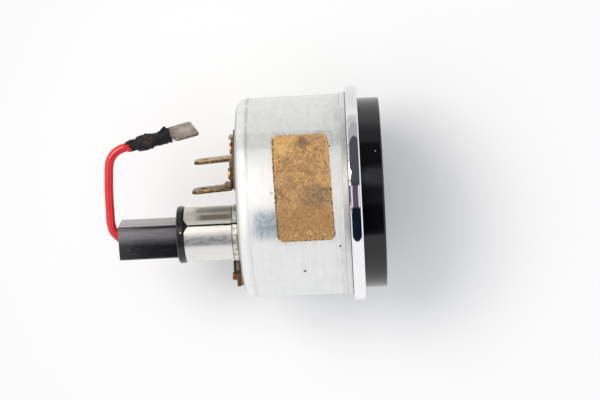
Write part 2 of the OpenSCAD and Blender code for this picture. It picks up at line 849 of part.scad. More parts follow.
module tube_collar() {
    color([0.8, 0.8, 0.78]) difference() {
        tube(tube_r + collar_t + fit, tube_r + fit, back_y, collar_l, lamp_x, lamp_z);
        seam_cut(back_y - cut);
    }
}

// Brown paper label on the can's crown, its corners rounded and one end narrower
module paper_label() {
    end_x = label_x + label_w;
    color([0.66, 0.53, 0.38]) intersection() {
        tube(can_r + label_t, can_r, label_y - cut, label_h + 2 * cut + label_skew[1]);
        linear_extrude(can_r + 2) polygon(rounded([
            [label_x, label_y], [end_x, label_y + label_skew[0]],
            [end_x, label_y + label_h + label_skew[1]], [label_x, label_y + label_h],
        ], 1.6));
    }
}

// Flat needle on its hub, turned to its place at rest
module pointer_needle() {
    color([0.95, 0.93, 0.88]) rotate([0, -rest_angle, 0]) difference() {
        union() {
            rotate([0, -90, 0]) plate(needle_y, needle_t) polygon([
                [-tail_l, -1.1], [-hub_r, -1.1], [0, -0.9], [pointer_l - 2, -0.4],
                [pointer_l, 0], [pointer_l - 2, 0.4], [0, 0.9], [-hub_r, 1.1], [-tail_l, 1.1],
            ]);
            rod(hub_r, hub_y, hub_l);
        }
        rod(shaft_r + fit, hub_y - cut, hub_l + 2 * cut);
    }
}

module pointer_cap() {
    color([0.1, 0.1, 0.1]) turned(concat(
        [[0, hub_y], [cap_r, hub_y]],
        arc(cap_r - rim_r, hub_y - cap_t + rim_r, rim_r, 0, -90, 6),
        [[0, hub_y - cap_t]]
    ));
}

module pointer_shaft() {
    color([0.75, 0.76, 0.78]) rod(shaft_r, hub_y, shaft_back_y - hub_y);
}

module magnet_rotor() {
    color([0.35, 0.35, 0.37])
        tube(magnet_r, shaft_r + fit, magnet_y - magnet_l / 2, magnet_l);
}

// Places children on the lamp's axis, turned as the holder is
module in_holder() {
    translate([lamp_x, 0, lamp_z]) rotate([0, -block_turn, 0]) children();
}

// Moulded holder: hollow spigot, flange, and a block with a hollow for the crimp
module holder_body() {
    hollow_y = block_y + 1.5;
    hollow_end_y = block_end_y - wire_in_block - 0.6;
    slot_half_w = strip_w / 2 + seat;
    strip_in = strip_t + 0.2;
    color([0.13, 0.13, 0.14]) difference() {
        union() {
            rod(spigot_out_r, holder_y - spigot_l, spigot_l + seat, lamp_x, lamp_z);
            rod(holder_flange_r, holder_y, holder_flange_t, lamp_x, lamp_z);
            translate([block_shift[0], 0, block_shift[1]]) in_holder()
                plate(block_y - seat, block_l + seat)
                    polygon(rounded(rectangle(-block_w / 2, block_w / 2, -block_h / 2,
                        block_h / 2), 0.9));
        }
        rod(spigot_out_r - spigot_wall, holder_y - spigot_l - cut,
            spigot_l + cut + socket_floor_y - holder_y, lamp_x, lamp_z);
        rod(hollow_r, hollow_y, hollow_end_y - hollow_y, wire_at[0], wire_at[1]);
        rod(wire_r + slip, hollow_y, block_end_y + cut - hollow_y, wire_at[0], wire_at[1]);
        in_holder() {
            block(leaf_x - seat, leaf_x + leaf_t + seat, socket_floor_y - cut, hollow_y + cut,
                -tail_w / 2 - seat, tail_w / 2 + seat);
            block(-spigot_out_r - slip, strip_in - spigot_out_r, leaf_y, socket_floor_y,
                -slot_half_w, slot_half_w);
            block(-spigot_out_r - slip, 2 - spigot_out_r, socket_floor_y - 2 * strip_t,
                socket_floor_y, -slot_half_w, slot_half_w);
        }
    }
}

// Live spring leaf beside the bulb's base, with a tail to the wire's crimp
module feed_contact() {
    crimp_y = block_y + 5.5;
    crimp_end_y = block_end_y - wire_in_block - 0.7;
    color([0.8, 0.62, 0.35]) {
        in_holder() {
            block(leaf_x, leaf_x + leaf_t, leaf_y, socket_floor_y, -leaf_w / 2, leaf_w / 2);
            block(leaf_x, leaf_x + leaf_t, socket_floor_y - seat, crimp_y + 0.5,
                -tail_w / 2, tail_w / 2);
        }
        rod(hollow_r - 1.5 * seat, crimp_y, 0.8, wire_at[0], wire_at[1]);
        rod(wire_r + 0.35, crimp_y + 0.5, crimp_end_y - crimp_y - 0.5, wire_at[0], wire_at[1]);
    }
}

// Earth leaf beside the bulb's base, folded out to the inside of the lamp tube
module earth_contact() {
    strip_x = sqrt(pow(spigot_out_r - 0.01, 2) - pow(strip_w / 2, 2));
    color([0.78, 0.6, 0.34]) in_holder() {
        block(-leaf_x - leaf_t, -leaf_x, leaf_y, socket_floor_y, -leaf_w / 2, leaf_w / 2);
        block(-strip_x, -leaf_x, socket_floor_y - strip_t, socket_floor_y,
            -strip_w / 2, strip_w / 2);
        block(-strip_x, strip_t - strip_x, leaf_y + 1, socket_floor_y,
            -strip_w / 2, strip_w / 2);
    }
}

// Glass bulb with a flat pressed base, hollow inside
module bulb_glass() {
    shoulder_y = press_y - 3.5;
    color([0.9, 0.93, 0.93, 0.4]) difference() {
        union() {
            translate([lamp_x, 0, lamp_z]) turned(concat(
                [[0, press_y], [press_t / 2, press_y], [bulb_r, shoulder_y]],
                arc(0, bulb_tip_y + bulb_r, bulb_r, 0, -90, 12)
            ));
            in_holder() block(-press_t / 2, press_t / 2, shoulder_y, press_end_y,
                -press_w / 2, press_w / 2);
        }
        translate([lamp_x, 0, lamp_z]) turned(concat(
            [[0, shoulder_y - 0.5], [bulb_r - bulb_wall, shoulder_y - 1.5]],
            arc(0, bulb_tip_y + bulb_r, bulb_r - bulb_wall, 0, -90, 12)
        ));
    }
}

// Two support wires out of the glass base and the filament between them
module bulb_filament() {
    low_y = press_y;
    high_y = bulb_tip_y + 8;
    color([0.6, 0.58, 0.55]) in_holder() {
        for (side = [-1, 1]) rod(0.2, high_y, low_y - high_y, 0, side * 2);
        translate([0, high_y + 0.2, -2]) cylinder(r = 0.15, h = 4);
    }
}

// Red wire swept along its points
module lead_wire() {
    color([0.82, 0.1, 0.1]) swept(wire_points, wire_r, 8);
}

// Places children at the tape's start, with z along the tape
module along_tape() {
    translate(tape_from) rotate([0, 0, tape_turn]) rotate([90, 0, 0]) children();
}

// Black tape wound round the joint of wire and tab
module lead_tape() {
    color([0.12, 0.12, 0.12]) along_tape() rotate_extrude($fn = 48) polygon([
        [0, 0], [tape_r - 0.35, 0], [tape_r, tape_l * 0.1], [tape_r - 0.1, tape_l * 0.3],
        [tape_r + 0.1, tape_l * 0.5], [tape_r - 0.05, tape_l * 0.7],
        [tape_r + 0.1, tape_l * 0.88], [tape_r - 0.3, tape_l], [0, tape_l],
    ]);
}

// Flat tinned tab, crimped to the wire's end inside the tape
module lead_tab() {
    color([0.64, 0.59, 0.53]) along_tape() {
        translate([0, 0, tape_l - 2.9]) cylinder(r = 1, h = 3, $fn = 24);
        translate([0, 0, tape_l]) rotate([-90, 0, 0]) rotate([0, 0, tab_turn - tape_turn])
            rotate([tab_droop, 0, 0]) rotate([0, tab_roll, 0])
                translate([0, 0, -tab_t / 2]) linear_extrude(tab_t) polygon([
                    [-1, 0.6], [-1, 0.1], [-tab_w / 2, -0.4], [-tab_w / 2, -tab_l + 0.4],
                    [-tab_w / 2 + 0.3, -tab_l], [tab_w / 2 - 0.3, -tab_l],
                    [tab_w / 2, -tab_l + 0.4], [tab_w / 2, -0.4], [1, 0.1], [1, 0.6],
                ]);
    }
}

case_can();
chrome_bezel();
front_hood();
front_glass();
mouth_seal();
dial_spacer();
dial_plate();
dial_screws();
dial_posts();
light_ring();
front_plate();
frame_pillars();
rear_plate();
plate_screws();
front_bearing();
rear_bearing();
magnetic_shield();
former_front();
former_rear();
coil_across();
coil_upright();
inner_board();
trim_resistor();
inner_leads();
solder_tags();
supply_terminal();
sender_terminal();
terminal_insulator();
terminal_bushes();
supply_rivet();
sender_rivet();
earth_tag();
earth_pad();
earth_rivet();
lamp_tube();
tube_collar();
paper_label();
pointer_needle();
pointer_cap();
pointer_shaft();
magnet_rotor();
holder_body();
feed_contact();
earth_contact();
bulb_glass();
bulb_filament();
lead_wire();
lead_tape();
lead_tab();
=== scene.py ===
from math import cos, pi, radians, sin, sqrt, tan, tanh, tau
import bmesh
import bpy
from mathutils import Matrix, Vector, noise


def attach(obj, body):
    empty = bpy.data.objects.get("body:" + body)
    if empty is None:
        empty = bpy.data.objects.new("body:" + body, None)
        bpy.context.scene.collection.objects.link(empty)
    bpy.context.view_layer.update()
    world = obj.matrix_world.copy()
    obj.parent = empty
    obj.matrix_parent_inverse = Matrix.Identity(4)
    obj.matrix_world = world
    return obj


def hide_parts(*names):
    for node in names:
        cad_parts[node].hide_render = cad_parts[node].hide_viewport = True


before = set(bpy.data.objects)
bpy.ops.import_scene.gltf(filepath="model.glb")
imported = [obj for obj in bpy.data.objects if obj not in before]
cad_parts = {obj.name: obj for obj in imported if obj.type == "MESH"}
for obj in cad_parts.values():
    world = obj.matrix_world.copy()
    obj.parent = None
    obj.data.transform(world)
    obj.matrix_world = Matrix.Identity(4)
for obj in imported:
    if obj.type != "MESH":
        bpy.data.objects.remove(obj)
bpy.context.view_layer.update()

# The studio. The gauge lies on its side on a white table, tipped on its bezel and the can's back
# corner, with the camera straight above it. A soft lamp hangs high to its upper left, in a white
# room whose ceiling has a narrow dark opening above the camera.
MM = 0.001
camera_place = Vector((-1.9, -0.6, 421)) * MM
camera_aim = Vector((-1.2, 13.0, 0)) * MM
camera_up = Vector((0.9988, -0.0489, 0))
camera_back = (camera_place - camera_aim).normalized()
camera_up = (camera_up - camera_back * camera_up.dot(camera_back)).normalized()
camera_right = camera_up.cross(camera_back)
camera = bpy.data.objects.new("camera", bpy.data.cameras.new("camera"))
bpy.context.collection.objects.link(camera)
camera.matrix_world = Matrix.Translation(camera_place) @ Matrix(
    (camera_right, camera_up, camera_back)).transposed().to_4x4()
camera.data.lens = 96.8
camera.data.sensor_width = 36
camera.data.clip_start = 0.01
bpy.context.scene.camera = camera
bpy.context.scene.view_settings.view_transform = "Standard"

table_z, table_slope = -27.97 * MM, tan(radians(4.34))
tilt_y, level_off = -0.3 * MM, 0.07
bpy.ops.object.select_all(action="DESELECT")
bpy.ops.mesh.primitive_grid_add(x_subdivisions=2, y_subdivisions=401, size=4)
table = bpy.context.object
table.name = "table"
for corner in table.data.vertices:
    corner.co.z = table_z + table_slope * level_off * tanh((corner.co.y - tilt_y) / level_off)


def fill(tree, slot, value):
    """Join a pattern or another node's socket to a slot, or set the slot's own value."""
    value = value.socket if isinstance(value, Pattern) else value
    if isinstance(value, bpy.types.NodeSocket):
        tree.links.new(value, slot)
    elif value is not None:
        slot.default_value = (*value, 1) if slot.type == "RGBA" else value


def shade_node(tree, kind, *inputs, **settings):
    """A node with its settings, and its inputs filled in order."""
    node = tree.nodes.new("ShaderNode" + kind)
    for name, value in settings.items():
        setattr(node, name, value)
    for slot, value in zip(node.inputs, inputs):
        fill(tree, slot, value)
    return node


class Pattern:
    """A value that varies over a surface or round the room. Its unit is what step and band count in."""

    def __init__(self, tree, socket, unit=1.0):
        self.tree, self.socket, self.unit = tree, socket, unit

    def sum(self, operation, other=None):
        node = shade_node(self.tree, "Math", self, other, operation=operation)
        return Pattern(self.tree, node.outputs[0], self.unit)

    def __add__(self, other):
        return self.sum("ADD", other)

    def __sub__(self, other):
        return self.sum("SUBTRACT", other)

    def __mul__(self, other):
        return self.sum("MULTIPLY", other)

    def __truediv__(self, other):
        return Pattern(self.tree, self.sum("DIVIDE", other).socket)

    def __or__(self, other):
        return self.sum("MAXIMUM", other)

    def step(self, low, high, bottom=0.0, top=1.0):
        """Smooth change from bottom to top as the pattern goes from low to high."""
        node = shade_node(self.tree, "MapRange", self, low * self.unit, high * self.unit,
                          bottom, top, interpolation_type="SMOOTHSTEP")
        return Pattern(self.tree, node.outputs[0])

    def band(self, low, high, soft):
        """1 from low to high, fading out over soft on both sides."""
        return self.step(low - soft, low) * self.step(high, high + soft, 1.0, 0.0)

    def mix(self, a, b):
        """The colour a where the pattern is 0, and b where it is 1."""
        node = shade_node(self.tree, "Mix", self, *[None] * 5, a, b, data_type="RGBA")
        return Pattern(self.tree, node.outputs[2])

    def blend(self, a, b):
        """The value a where the pattern is 0, and b where it is 1."""
        node = shade_node(self.tree, "Mix", self, None, a, b, data_type="FLOAT")
        return Pattern(self.tree, node.outputs[0])


class Finish:
    """A procedural finish. Its patterns lie on the piece's own Object coordinates, in mm."""

    def __init__(self, name, **sockets):
        self.material = bpy.data.materials.new(name)
        self.material.use_nodes = True
        self.tree = self.material.node_tree
        self.shader = self.tree.nodes["Principled BSDF"]
        self.give(**sockets)
        self.place = shade_node(self.tree, "TexCoord").outputs["Object"]
        axes = shade_node(self.tree, "SeparateXYZ", self.place).outputs
        self.x, self.y, self.z = (Pattern(self.tree, axis, MM) for axis in axes)

    def cover(self, piece):
        piece.data.materials.clear()
        piece.data.materials.append(self.material)

    def give(self, **sockets):
        for name, value in sockets.items():
            fill(self.tree, self.shader.inputs[name.replace("_", " ")], value)

    def coat(self, where, colour):
        """Lay a colour over what is there, where a pattern is 1."""
        under = self.shader.inputs["Base Color"].links[0].from_socket
        self.give(Base_Color=where.mix(under, colour))

    def noise(self, size, detail=3.0, rough=0.55, stretch=(1, 1, 1), shift=0.0):
        """Soft cloudy values from 0 to 1, in patches about size mm across."""
        spread = shade_node(self.tree, "Mapping", self.place, (shift, shift, shift), None,
                            tuple(1 / (size * MM * s) for s in stretch))
        cloud = shade_node(self.tree, "TexNoise", spread.outputs[0], None, 1, detail, rough)
        return Pattern(self.tree, cloud.outputs["Fac"])

    def measured(self, operation, place):
        node = shade_node(self.tree, "VectorMath", self.place, place, operation=operation)
        return Pattern(self.tree, node.outputs["Value"], MM)

    def gap(self, centre):
        """How far it is to a place in mm."""
        return self.measured("DISTANCE", Vector(centre) * MM)

    def along(self, direction):
        """How far it is along a direction."""
        return self.measured("DOT_PRODUCT", direction)

    def spot(self, centre, radius, soft=0.5):
        """1 within radius mm of a place, fading out over soft mm."""
        return self.gap(centre).step(radius, radius + soft, 1.0, 0.0)

    def bump(self, height, depth):
        """Relief of depth mm, on top of the relief that is there."""
        node = shade_node(self.tree, "Bump")
        normal = self.shader.inputs["Normal"]
        for name, value in (("Strength", 1), ("Distance", depth * MM), ("Height", height)):
            fill(self.tree, node.inputs[name], value)
        if normal.links:
            fill(self.tree, node.inputs["Normal"], normal.links[0].from_socket)
        fill(self.tree, normal, node.outputs[0])


def rays(tree, *kinds):
    """1 for rays of some kinds, 0 for the others."""
    path = shade_node(tree, "LightPath").outputs
    found = Pattern(tree, path[f"Is {kinds[0]} Ray"])
    for kind in kinds[1:]:
        found = found | Pattern(tree, path[f"Is {kind} Ray"])
    return found


backdrop = (0.965, 0.965, 0.965)
table_white = Finish("table_white", Roughness=0.9, Specular_IOR_Level=0.1)
# Painted shadow: the table's colour is darker in a soft spot under the lamp tube.
painted_tube_shadow = table_white.spot((-16.5, 32, -27), 2, 11)
table_white.give(Base_Color=painted_tube_shadow.blend(0.94, 0.79))
far_off = table_white.gap((0, 6, -27)).step(40, 105)
far_off = far_off * rays(table_white.tree, "Camera", "Glossy", "Transmission")
white = shade_node(table_white.tree, "Emission", backdrop, 1.0)
mixed = shade_node(table_white.tree, "MixShader", far_off, table_white.shader.outputs[0],
                   white.outputs[0])
fill(table_white.tree, table_white.tree.nodes["Material Output"].inputs["Surface"], mixed.outputs[0])
table_white.cover(table)

lamp_place, lamp_aim = Vector((0.248, 0.46, 0.855)), Vector((0, 0.015, 0))
lamp = bpy.data.lights.new("soft_key", "AREA")
lamp.shape = "RECTANGLE"
lamp.size, lamp.size_y, lamp.energy, lamp.color = 0.52, 0.43, 4.2, (1.0, 0.94, 0.84)
soft_key = bpy.data.objects.new("soft_key", lamp)
bpy.context.collection.objects.link(soft_key)
soft_key.location = lamp_place
soft_key.rotation_euler = (lamp_aim - lamp_place).to_track_quat("-Z", "Y").to_euler()
soft_key.visible_camera = False

room = bpy.data.worlds.new("white_room")
bpy.context.scene.world = room
room.use_nodes = True
room.cycles.sampling_method = "NONE"
tree = room.node_tree
# Directions are angles from straight up: tilt towards +X, and swing towards +Y.
look = shade_node(tree, "TexCoord").outputs["Generated"]
look_x, look_y, look_z = (Pattern(tree, axis, radians(1))
                          for axis in shade_node(tree, "SeparateXYZ", look).outputs)
tilt = look_x.sum("ARCTAN2", look_z)
swing = look_y.sum("ARCSINE") + tilt.step(0, 25, 0.0, 0.07)


def oval(low, high, half_width):
    """1 outside a blunt oval of the ceiling, 0 in it, for its ends and half width in degrees."""
    across = (tilt - radians((low + high) / 2)) / radians((high - low) / 2)
    along = swing / tilt.step(0, 25, radians(half_width), radians(half_width + 6))
    ends = (across | 0.0).sum("POWER", 4.0) + (across * -1.0 | 0.0).sum("POWER", 16.0)
    return (ends + along.sum("ABSOLUTE").sum("POWER", 2.0)).step(0.92, 1.08)


window = swing.sum("ABSOLUTE").band(10, 13, 1)
ceiling = tilt.step(6, 12).mix((0.006, 0.01, 0.022), (0.075, 0.078, 0.092))
ceiling = tilt.band(-14, 6, 3).mix(ceiling, window.mix((0.11, 0.085, 0.11), (0.8, 0.8, 0.95)))
ceiling = oval(-53, 62, 16).mix(ceiling, (0.42, 0.425, 0.44))
panel = tilt.band(-8, 24, 14) * swing.step(14, 20) * swing.step(45, 60, 1.0, 0.0)
dusk = tilt.step(60, 84) * tilt.step(82, 97, 1.0, 0.15)
walls = dusk.mix((0.95, 0.94, 0.965), (0.56, 0.565, 0.59))
walls = swing.step(58, 80).mix(walls, (0.42, 0.46, 0.52))
sheen = oval(-53, 80, 16).mix(ceiling, panel.mix(walls, (1.9, 1.88, 1.9)))
room_fill = swing.step(-65, 25).mix((0.66, 0.67, 0.7), (0.82, 0.837, 0.875))
seen = rays(tree, "Glossy").mix(room_fill, sheen)
seen = rays(tree, "Camera", "Transmission").mix(seen, backdrop)
fill(tree, tree.nodes["Background"].inputs["Color"], seen)

# The lamp's lead: red PVC sheath on stranded copper, 2.3 mm thick and about 36 mm long. It bends
# straight out of the holder's end and over to the taped joint, held up by its own stiffness.
wire_d = 2.3
wire_points = [
    (-9.8, 58.2, 9.0), (-8.9, 59.1, 9.0), (-8.0, 60.0, 9.1),
    (-7.0, 60.8, 9.2), (-5.8, 61.2, 9.3), (-4.5, 61.4, 9.4),
    (-1.5, 61.4, 9.8), (1.5, 61.4, 10.2), (4.5, 61.3, 10.6),
    (7.2, 61.1, 11.0), (9.6, 60.9, 11.3), (11.2, 60.5, 11.5),
    (12.6, 59.6, 11.7), (13.6, 58.3, 11.9), (14.2, 56.8, 12.0),
    (14.5, 55.3, 12.0), (15.0, 53.0, 12.0), (15.5, 50.6, 12.0),
    (16.0, 48.4, 12.0),
]


def deselect():
    if bpy.context.object and bpy.context.object.mode != "OBJECT":
        bpy.ops.object.mode_set(mode="OBJECT")
    bpy.ops.object.select_all(action="DESELECT")


def hold(piece):
    """Make a piece the one that the next operators work on."""
    deselect()
    piece.select_set(True)
    bpy.context.view_layer.objects.active = piece


def fitted(piece, body, slot, finish, *nodes):
    """Give a piece its finish and its body, and hide the CAD nodes that it stands for. Its slot is not used.
    """
    finish.cover(piece)
    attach(piece, body)
    if nodes:
        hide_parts(*nodes)


sheath = Finish("red_sheath", Specular_IOR_Level=0.6)
grime = sheath.noise(0.7, 5, 0.7, shift=3.0).step(0.56, 0.74)
sheath.give(Base_Color=sheath.noise(2.2, 4).mix((0.58, 0.008, 0.013), (0.8, 0.026, 0.031)),
            Roughness=grime.blend(0.12, 0.4))
sheath.coat(grime * sheath.x.step(-8.2, -5.0, 0.85, 0.2), (0.22, 0.02, 0.018))
sheath.bump(sheath.noise(1.1, 2), 0.05)

deselect()
bpy.ops.curve.primitive_bezier_curve_add()
lead_wire = bpy.context.object
lead_wire.name = "red_lead_wire"
line = lead_wire.data.splines[0]
line.bezier_points.add(len(wire_points) - 2)
for knot, point in zip(line.bezier_points, wire_points):
    knot.co = Vector(point) * MM
    knot.handle_left_type = knot.handle_right_type = "AUTO"
lead_wire.data.bevel_depth = wire_d / 2 * MM
lead_wire.data.bevel_resolution = 8
lead_wire.data.resolution_u = 10
lead_wire.data.use_fill_caps = True
fitted(lead_wire, "lamp_holder", "wire_red", sheath, "lead_wire")

# The joint of wire and tab, wound with black cloth tape in uneven overlapping turns, with its
# end torn off in a point that stands up where the tab comes out.
tape_start = Vector((14.4, 56.0, 12.0))
tape_turn = radians(12.5)
tape_l, tape_t, tape_turns = 11.6, 0.16, 6.5
tape_axis = Vector((sin(tape_turn), -cos(tape_turn), 0))
tape_side = Vector((cos(tape_turn), sin(tape_turn), 0))
tape_up = Vector((0, 0, 1))
tape_profile = [(0.0, 1.22), (0.1, 1.38), (0.2, 1.42), (0.27, 1.95), (0.36, 1.98), (0.52, 1.85),
                (0.66, 1.62), (0.8, 1.68), (0.92, 1.86), (1.0, 1.72)]


def between(table, t):
    """Value at t on a table of (place, value) pairs."""
    for (t0, v0), (t1, v1) in zip(table, table[1:]):
        if t <= t1:
            return v0 + (v1 - v0) * (t - t0) / (t1 - t0)
    return table[-1][1]


def outward():
    """Turn all faces of the piece in edit mode outwards, and leave edit mode."""
    bpy.ops.mesh.select_all(action="SELECT")
    bpy.ops.mesh.normals_make_consistent(inside=False)
    bpy.ops.object.mode_set(mode="OBJECT")


def welded():
    """Enter edit mode if need be and weld the points that lie together."""
    bpy.ops.object.mode_set(mode="EDIT")
    bpy.ops.mesh.select_all(action="SELECT")
    bpy.ops.mesh.remove_doubles(threshold=0.002 * MM)


def named(piece, name):
    piece.name = piece.data.name = name
    return piece


def laid(name, columns, rows, place):
    """A grid with each point put where place(u, v) says, in mm, for u and v from 0 to 1."""
    deselect()
    bpy.ops.mesh.primitive_grid_add(x_subdivisions=columns, y_subdivisions=rows, size=2)
    piece = named(bpy.context.object, name)
    for corner in piece.data.vertices:
        corner.co = Vector(place((corner.co.x + 1) / 2, (corner.co.y + 1) / 2)) * MM
    return piece


def smoothed(piece, degrees=35):
    hold(piece)
    bpy.ops.object.shade_smooth_by_angle(angle=radians(degrees))
    return piece


def worked(piece, kind, **settings):
    """Put one modifier on a piece and apply it."""
    hold(piece)
    tool = piece.modifiers.new("work", kind)
    for name, value in settings.items():
        setattr(tool, name, value)
    bpy.ops.object.modifier_apply(modifier="work")
    return piece


def joined(name, pieces):
    """Make one piece of several."""
    hold(pieces[0])
    for piece in pieces:
        piece.select_set(True)
    bpy.ops.object.join()
    return named(pieces[0], name)


def wound(u, v):
    """Tape wound round the joint: a step at the edge of each turn, and lumps under it."""
    angle = tau * v
    turn = (u * tape_turns + v) % 1
    edge = tape_t * (1 - turn) ** 3
    spread = 1 + 0.22 * max(0.0, u - 0.6) / 0.4 * cos(2 * (angle - 0.9))
    lumps = 0.3 * noise.noise(Vector((u * 5, cos(angle) * 0.9, sin(angle) * 0.9)))
    creases = 0.16 * noise.noise(Vector((u * 16, cos(angle) * 2.2, sin(angle) * 2.2 + 7)))
    radius = between(tape_profile, u) * spread + edge + lumps + creases
    sag = 0.25 * sin(pi * u)
    return (tape_start + tape_axis * (u * tape_l)
            + tape_side * (radius * cos(angle) - sag * 0.3)
            + tape_up * (radius * 0.94 * sin(angle)))


def torn(u, v):
    """The loose end of the tape, which stands up from the joint in a torn point."""
    rise = 1.55 * u
    width = 2.9 * (1 - 0.8 * u) + 0.2 * noise.noise(Vector((u * 7, v * 5, 1)))
    return (tape_start + tape_axis * (tape_l - 2.0 + 1.0 * u + width * (v - 0.5))
            + tape_side * (0.9 + rise) + tape_up * (0.9 + 0.35 * u - 0.4 * v * u))


cloth = Finish("black_tape", Specular_IOR_Level=0.15)
weave = cloth.noise(0.35, 4, 0.7)
greyed = cloth.noise(1.6, 5, 0.65, shift=5.0).step(0.5, 0.75) * cloth.y.step(55, 52)
# Painted highlight: a brownish sheen laid on top of the tape.
painted_brown_sheen = cloth.spot((15.9, 50.6, 14.0), 0.7, 1.6) * cloth.noise(1.0, 4).step(0.4, 0.58)
cloth.give(Base_Color=weave.mix((0.005, 0.005, 0.006), (0.024, 0.023, 0.026)),
           Roughness=weave.blend(0.38, 0.62))
cloth.coat(greyed * 0.5, (0.06, 0.058, 0.06))
cloth.coat(painted_brown_sheen * 0.7, (0.085, 0.052, 0.035))
cloth.bump(weave, 0.06)

lead_tape = laid("winding", 110, 56, wound)
welded()
bpy.ops.mesh.select_all(action="DESELECT")
bpy.ops.mesh.select_non_manifold()
bpy.ops.mesh.fill_holes(sides=0)
outward()
tape_end = worked(laid("tape_end", 18, 14, torn), "SOLIDIFY", thickness=tape_t * MM)
lead_tape = smoothed(joined("lead_tape_wound", [lead_tape, tape_end]), 50)
fitted(lead_tape, "lamp_holder", "tape_black", cloth, "lead_tape")

# The tab at the end of the lead: tinned sheet, 6.3 mm by 0.8 mm, crimped to the wire inside the
# tape and twisted over to one side, for a push-on socket.
tab_l, tab_half, tab_t = 6.6, 3.15, 0.8
tab_twist, tab_dip, tab_swing = 51.9, 21, 14.5


def turned(axis, degrees):
    return Matrix.Rotation(radians(degrees), 4, axis)


def moved(x=0, y=0, z=0):
    return Matrix.Translation((x * MM, y * MM, z * MM))


def placed(piece, *moves):
    """Move a piece within its own mesh."""
    for move in moves:
        piece.data.transform(move)
    return piece


def drawn(name, outline, thickness):
    """A plate cut to an outline in X and Z, in mm, with its thickness along +Y."""
    deselect()
    bpy.ops.mesh.primitive_circle_add(vertices=len(outline), radius=MM, fill_type="NGON")
    piece = named(bpy.context.object, name)
    for corner, (x, z) in zip(piece.data.vertices, outline):
        corner.co = Vector((x, 0, z)) * MM
    bpy.ops.object.mode_set(mode="EDIT")
    bpy.ops.mesh.select_all(action="SELECT")
    bpy.ops.mesh.extrude_region_move(TRANSFORM_OT_translate={"value": (0, thickness * MM, 0)})
    outward()
    return piece


def eased(piece, width, segments=3):
    """Round a piece's sharp edges to width mm."""
    return worked(piece, "BEVEL", width=width * MM, segments=segments,
                  limit_method="ANGLE", angle_limit=radians(30))


dull_tin = Finish("dull_tin", Metallic=0.8)
scuffs = dull_tin.noise(0.25, 3, 0.6, (1, 6, 1), 2.0)
dull_tin.give(Base_Color=dull_tin.noise(1.6, 5, 0.6).step(0.36, 0.64).mix(
    (0.26, 0.215, 0.175), (0.4, 0.34, 0.285)), Roughness=scuffs.blend(0.32, 0.55))
# Painted highlight: a lighter patch in the middle of the tab.
dull_tin.coat(dull_tin.spot((17.9, 41.0, 10.9), 0.6, 1.9) * 0.45, (0.6, 0.52, 0.44))
dull_tin.bump(scuffs, 0.02)

lead_tab = drawn("lead_tab_blade", [
    (-1.0, 0.6), (-1.0, 0.1), (-tab_half + 0.5, -0.2), (-tab_half, -0.7),
    (-tab_half, -tab_l + 0.5), (-tab_half + 0.4, -tab_l), (tab_half - 0.4, -tab_l),
    (tab_half, -tab_l + 0.5), (tab_half, -0.7), (tab_half - 0.5, -0.2), (1.0, 0.1), (1.0, 0.6),
], tab_t)
eased(placed(lead_tab, turned("X", -90), moved(z=tab_t / 2)), 0.12)
placed(lead_tab, turned("Y", tab_twist), turned("X", tab_dip), turned("Z", tab_swing),
       moved(*(tape_start + tape_axis * tape_l)))
fitted(smoothed(lead_tab), "lamp_holder", "tinned_tag", dull_tin, "lead_tab")

# The can: drawn steel, 52 mm across, with a rounded back corner, a neck under the bezel's skirt
# and a flange turned out at its mouth. Dull zinc plate with some stain and dirt along the bezel, and
# painted shade and painted reflections in its colour.
can_r, can_wall, can_back, corner_r = 26.0, 0.8, 28.1, 2.7
neck_r, mouth_r, mouth_y = 25.8, 27.2, -0.5
tube_x, tube_z = -8.586, 9.982
supply_at, sender_at, earth_x = (13.0, 2.9), (6.3, 11.9), -20.2


def arc(x, y, r, start, end, steps=10):
    """Points of an arc about (x, y), from one angle to another in degrees."""
    turns = [radians(start + (end - start) * i / steps) for i in range(steps + 1)]
    return [(x + r * cos(a), y + r * sin(a)) for a in turns]


def spun(name, outline, steps=180, closed=True):
    """A turned part: an outline of (radius, distance along Y) in mm, spun round the Y axis."""
    deselect()
    bpy.ops.mesh.primitive_plane_add(size=MM)
    piece = named(bpy.context.object, name)
    bpy.ops.object.mode_set(mode="EDIT")
    bpy.ops.mesh.merge(type="CENTER")
    radius, distance = outline[0]
    bpy.ops.transform.translate(value=(radius * MM, distance * MM, 0))
    for (r0, y0), (r1, y1) in zip(outline, outline[1:]):
        bpy.ops.mesh.extrude_region_move(
            TRANSFORM_OT_translate={"value": ((r1 - r0) * MM, (y1 - y0) * MM, 0)})
    if closed:
        drawing = bmesh.from_edit_mesh(piece.data)
        drawing.verts.ensure_lookup_table()
        for corner in drawing.verts:
            corner.select = corner.index in (0, len(outline) - 1)
        bmesh.update_edit_mesh(piece.data)
        bpy.ops.mesh.edge_face_add()
    bpy.ops.mesh.select_all(action="SELECT")
    bpy.ops.mesh.spin(steps=steps, angle=tau, center=(0, 0, 0), axis=(0, 1, 0))
    welded()
    outward()
    return piece


def cut(piece, *cutters, how="DIFFERENCE"):
    """Cut pieces away from a piece, or join them to it."""
    for cutter in cutters:
        worked(piece, "BOOLEAN", object=cutter, operation=how, solver="EXACT")
        bpy.data.objects.remove(cutter)
    return piece


def rod(radius, start, end, x=0.0, z=0.0, sides=96):
    """A round bar along Y, for cutting with, in mm."""
    deselect()
    bpy.ops.mesh.primitive_cylinder_add(vertices=sides, radius=radius * MM, depth=(end - start) * MM)
    return placed(bpy.context.object, turned("X", 90), moved(x, (start + end) / 2, z))


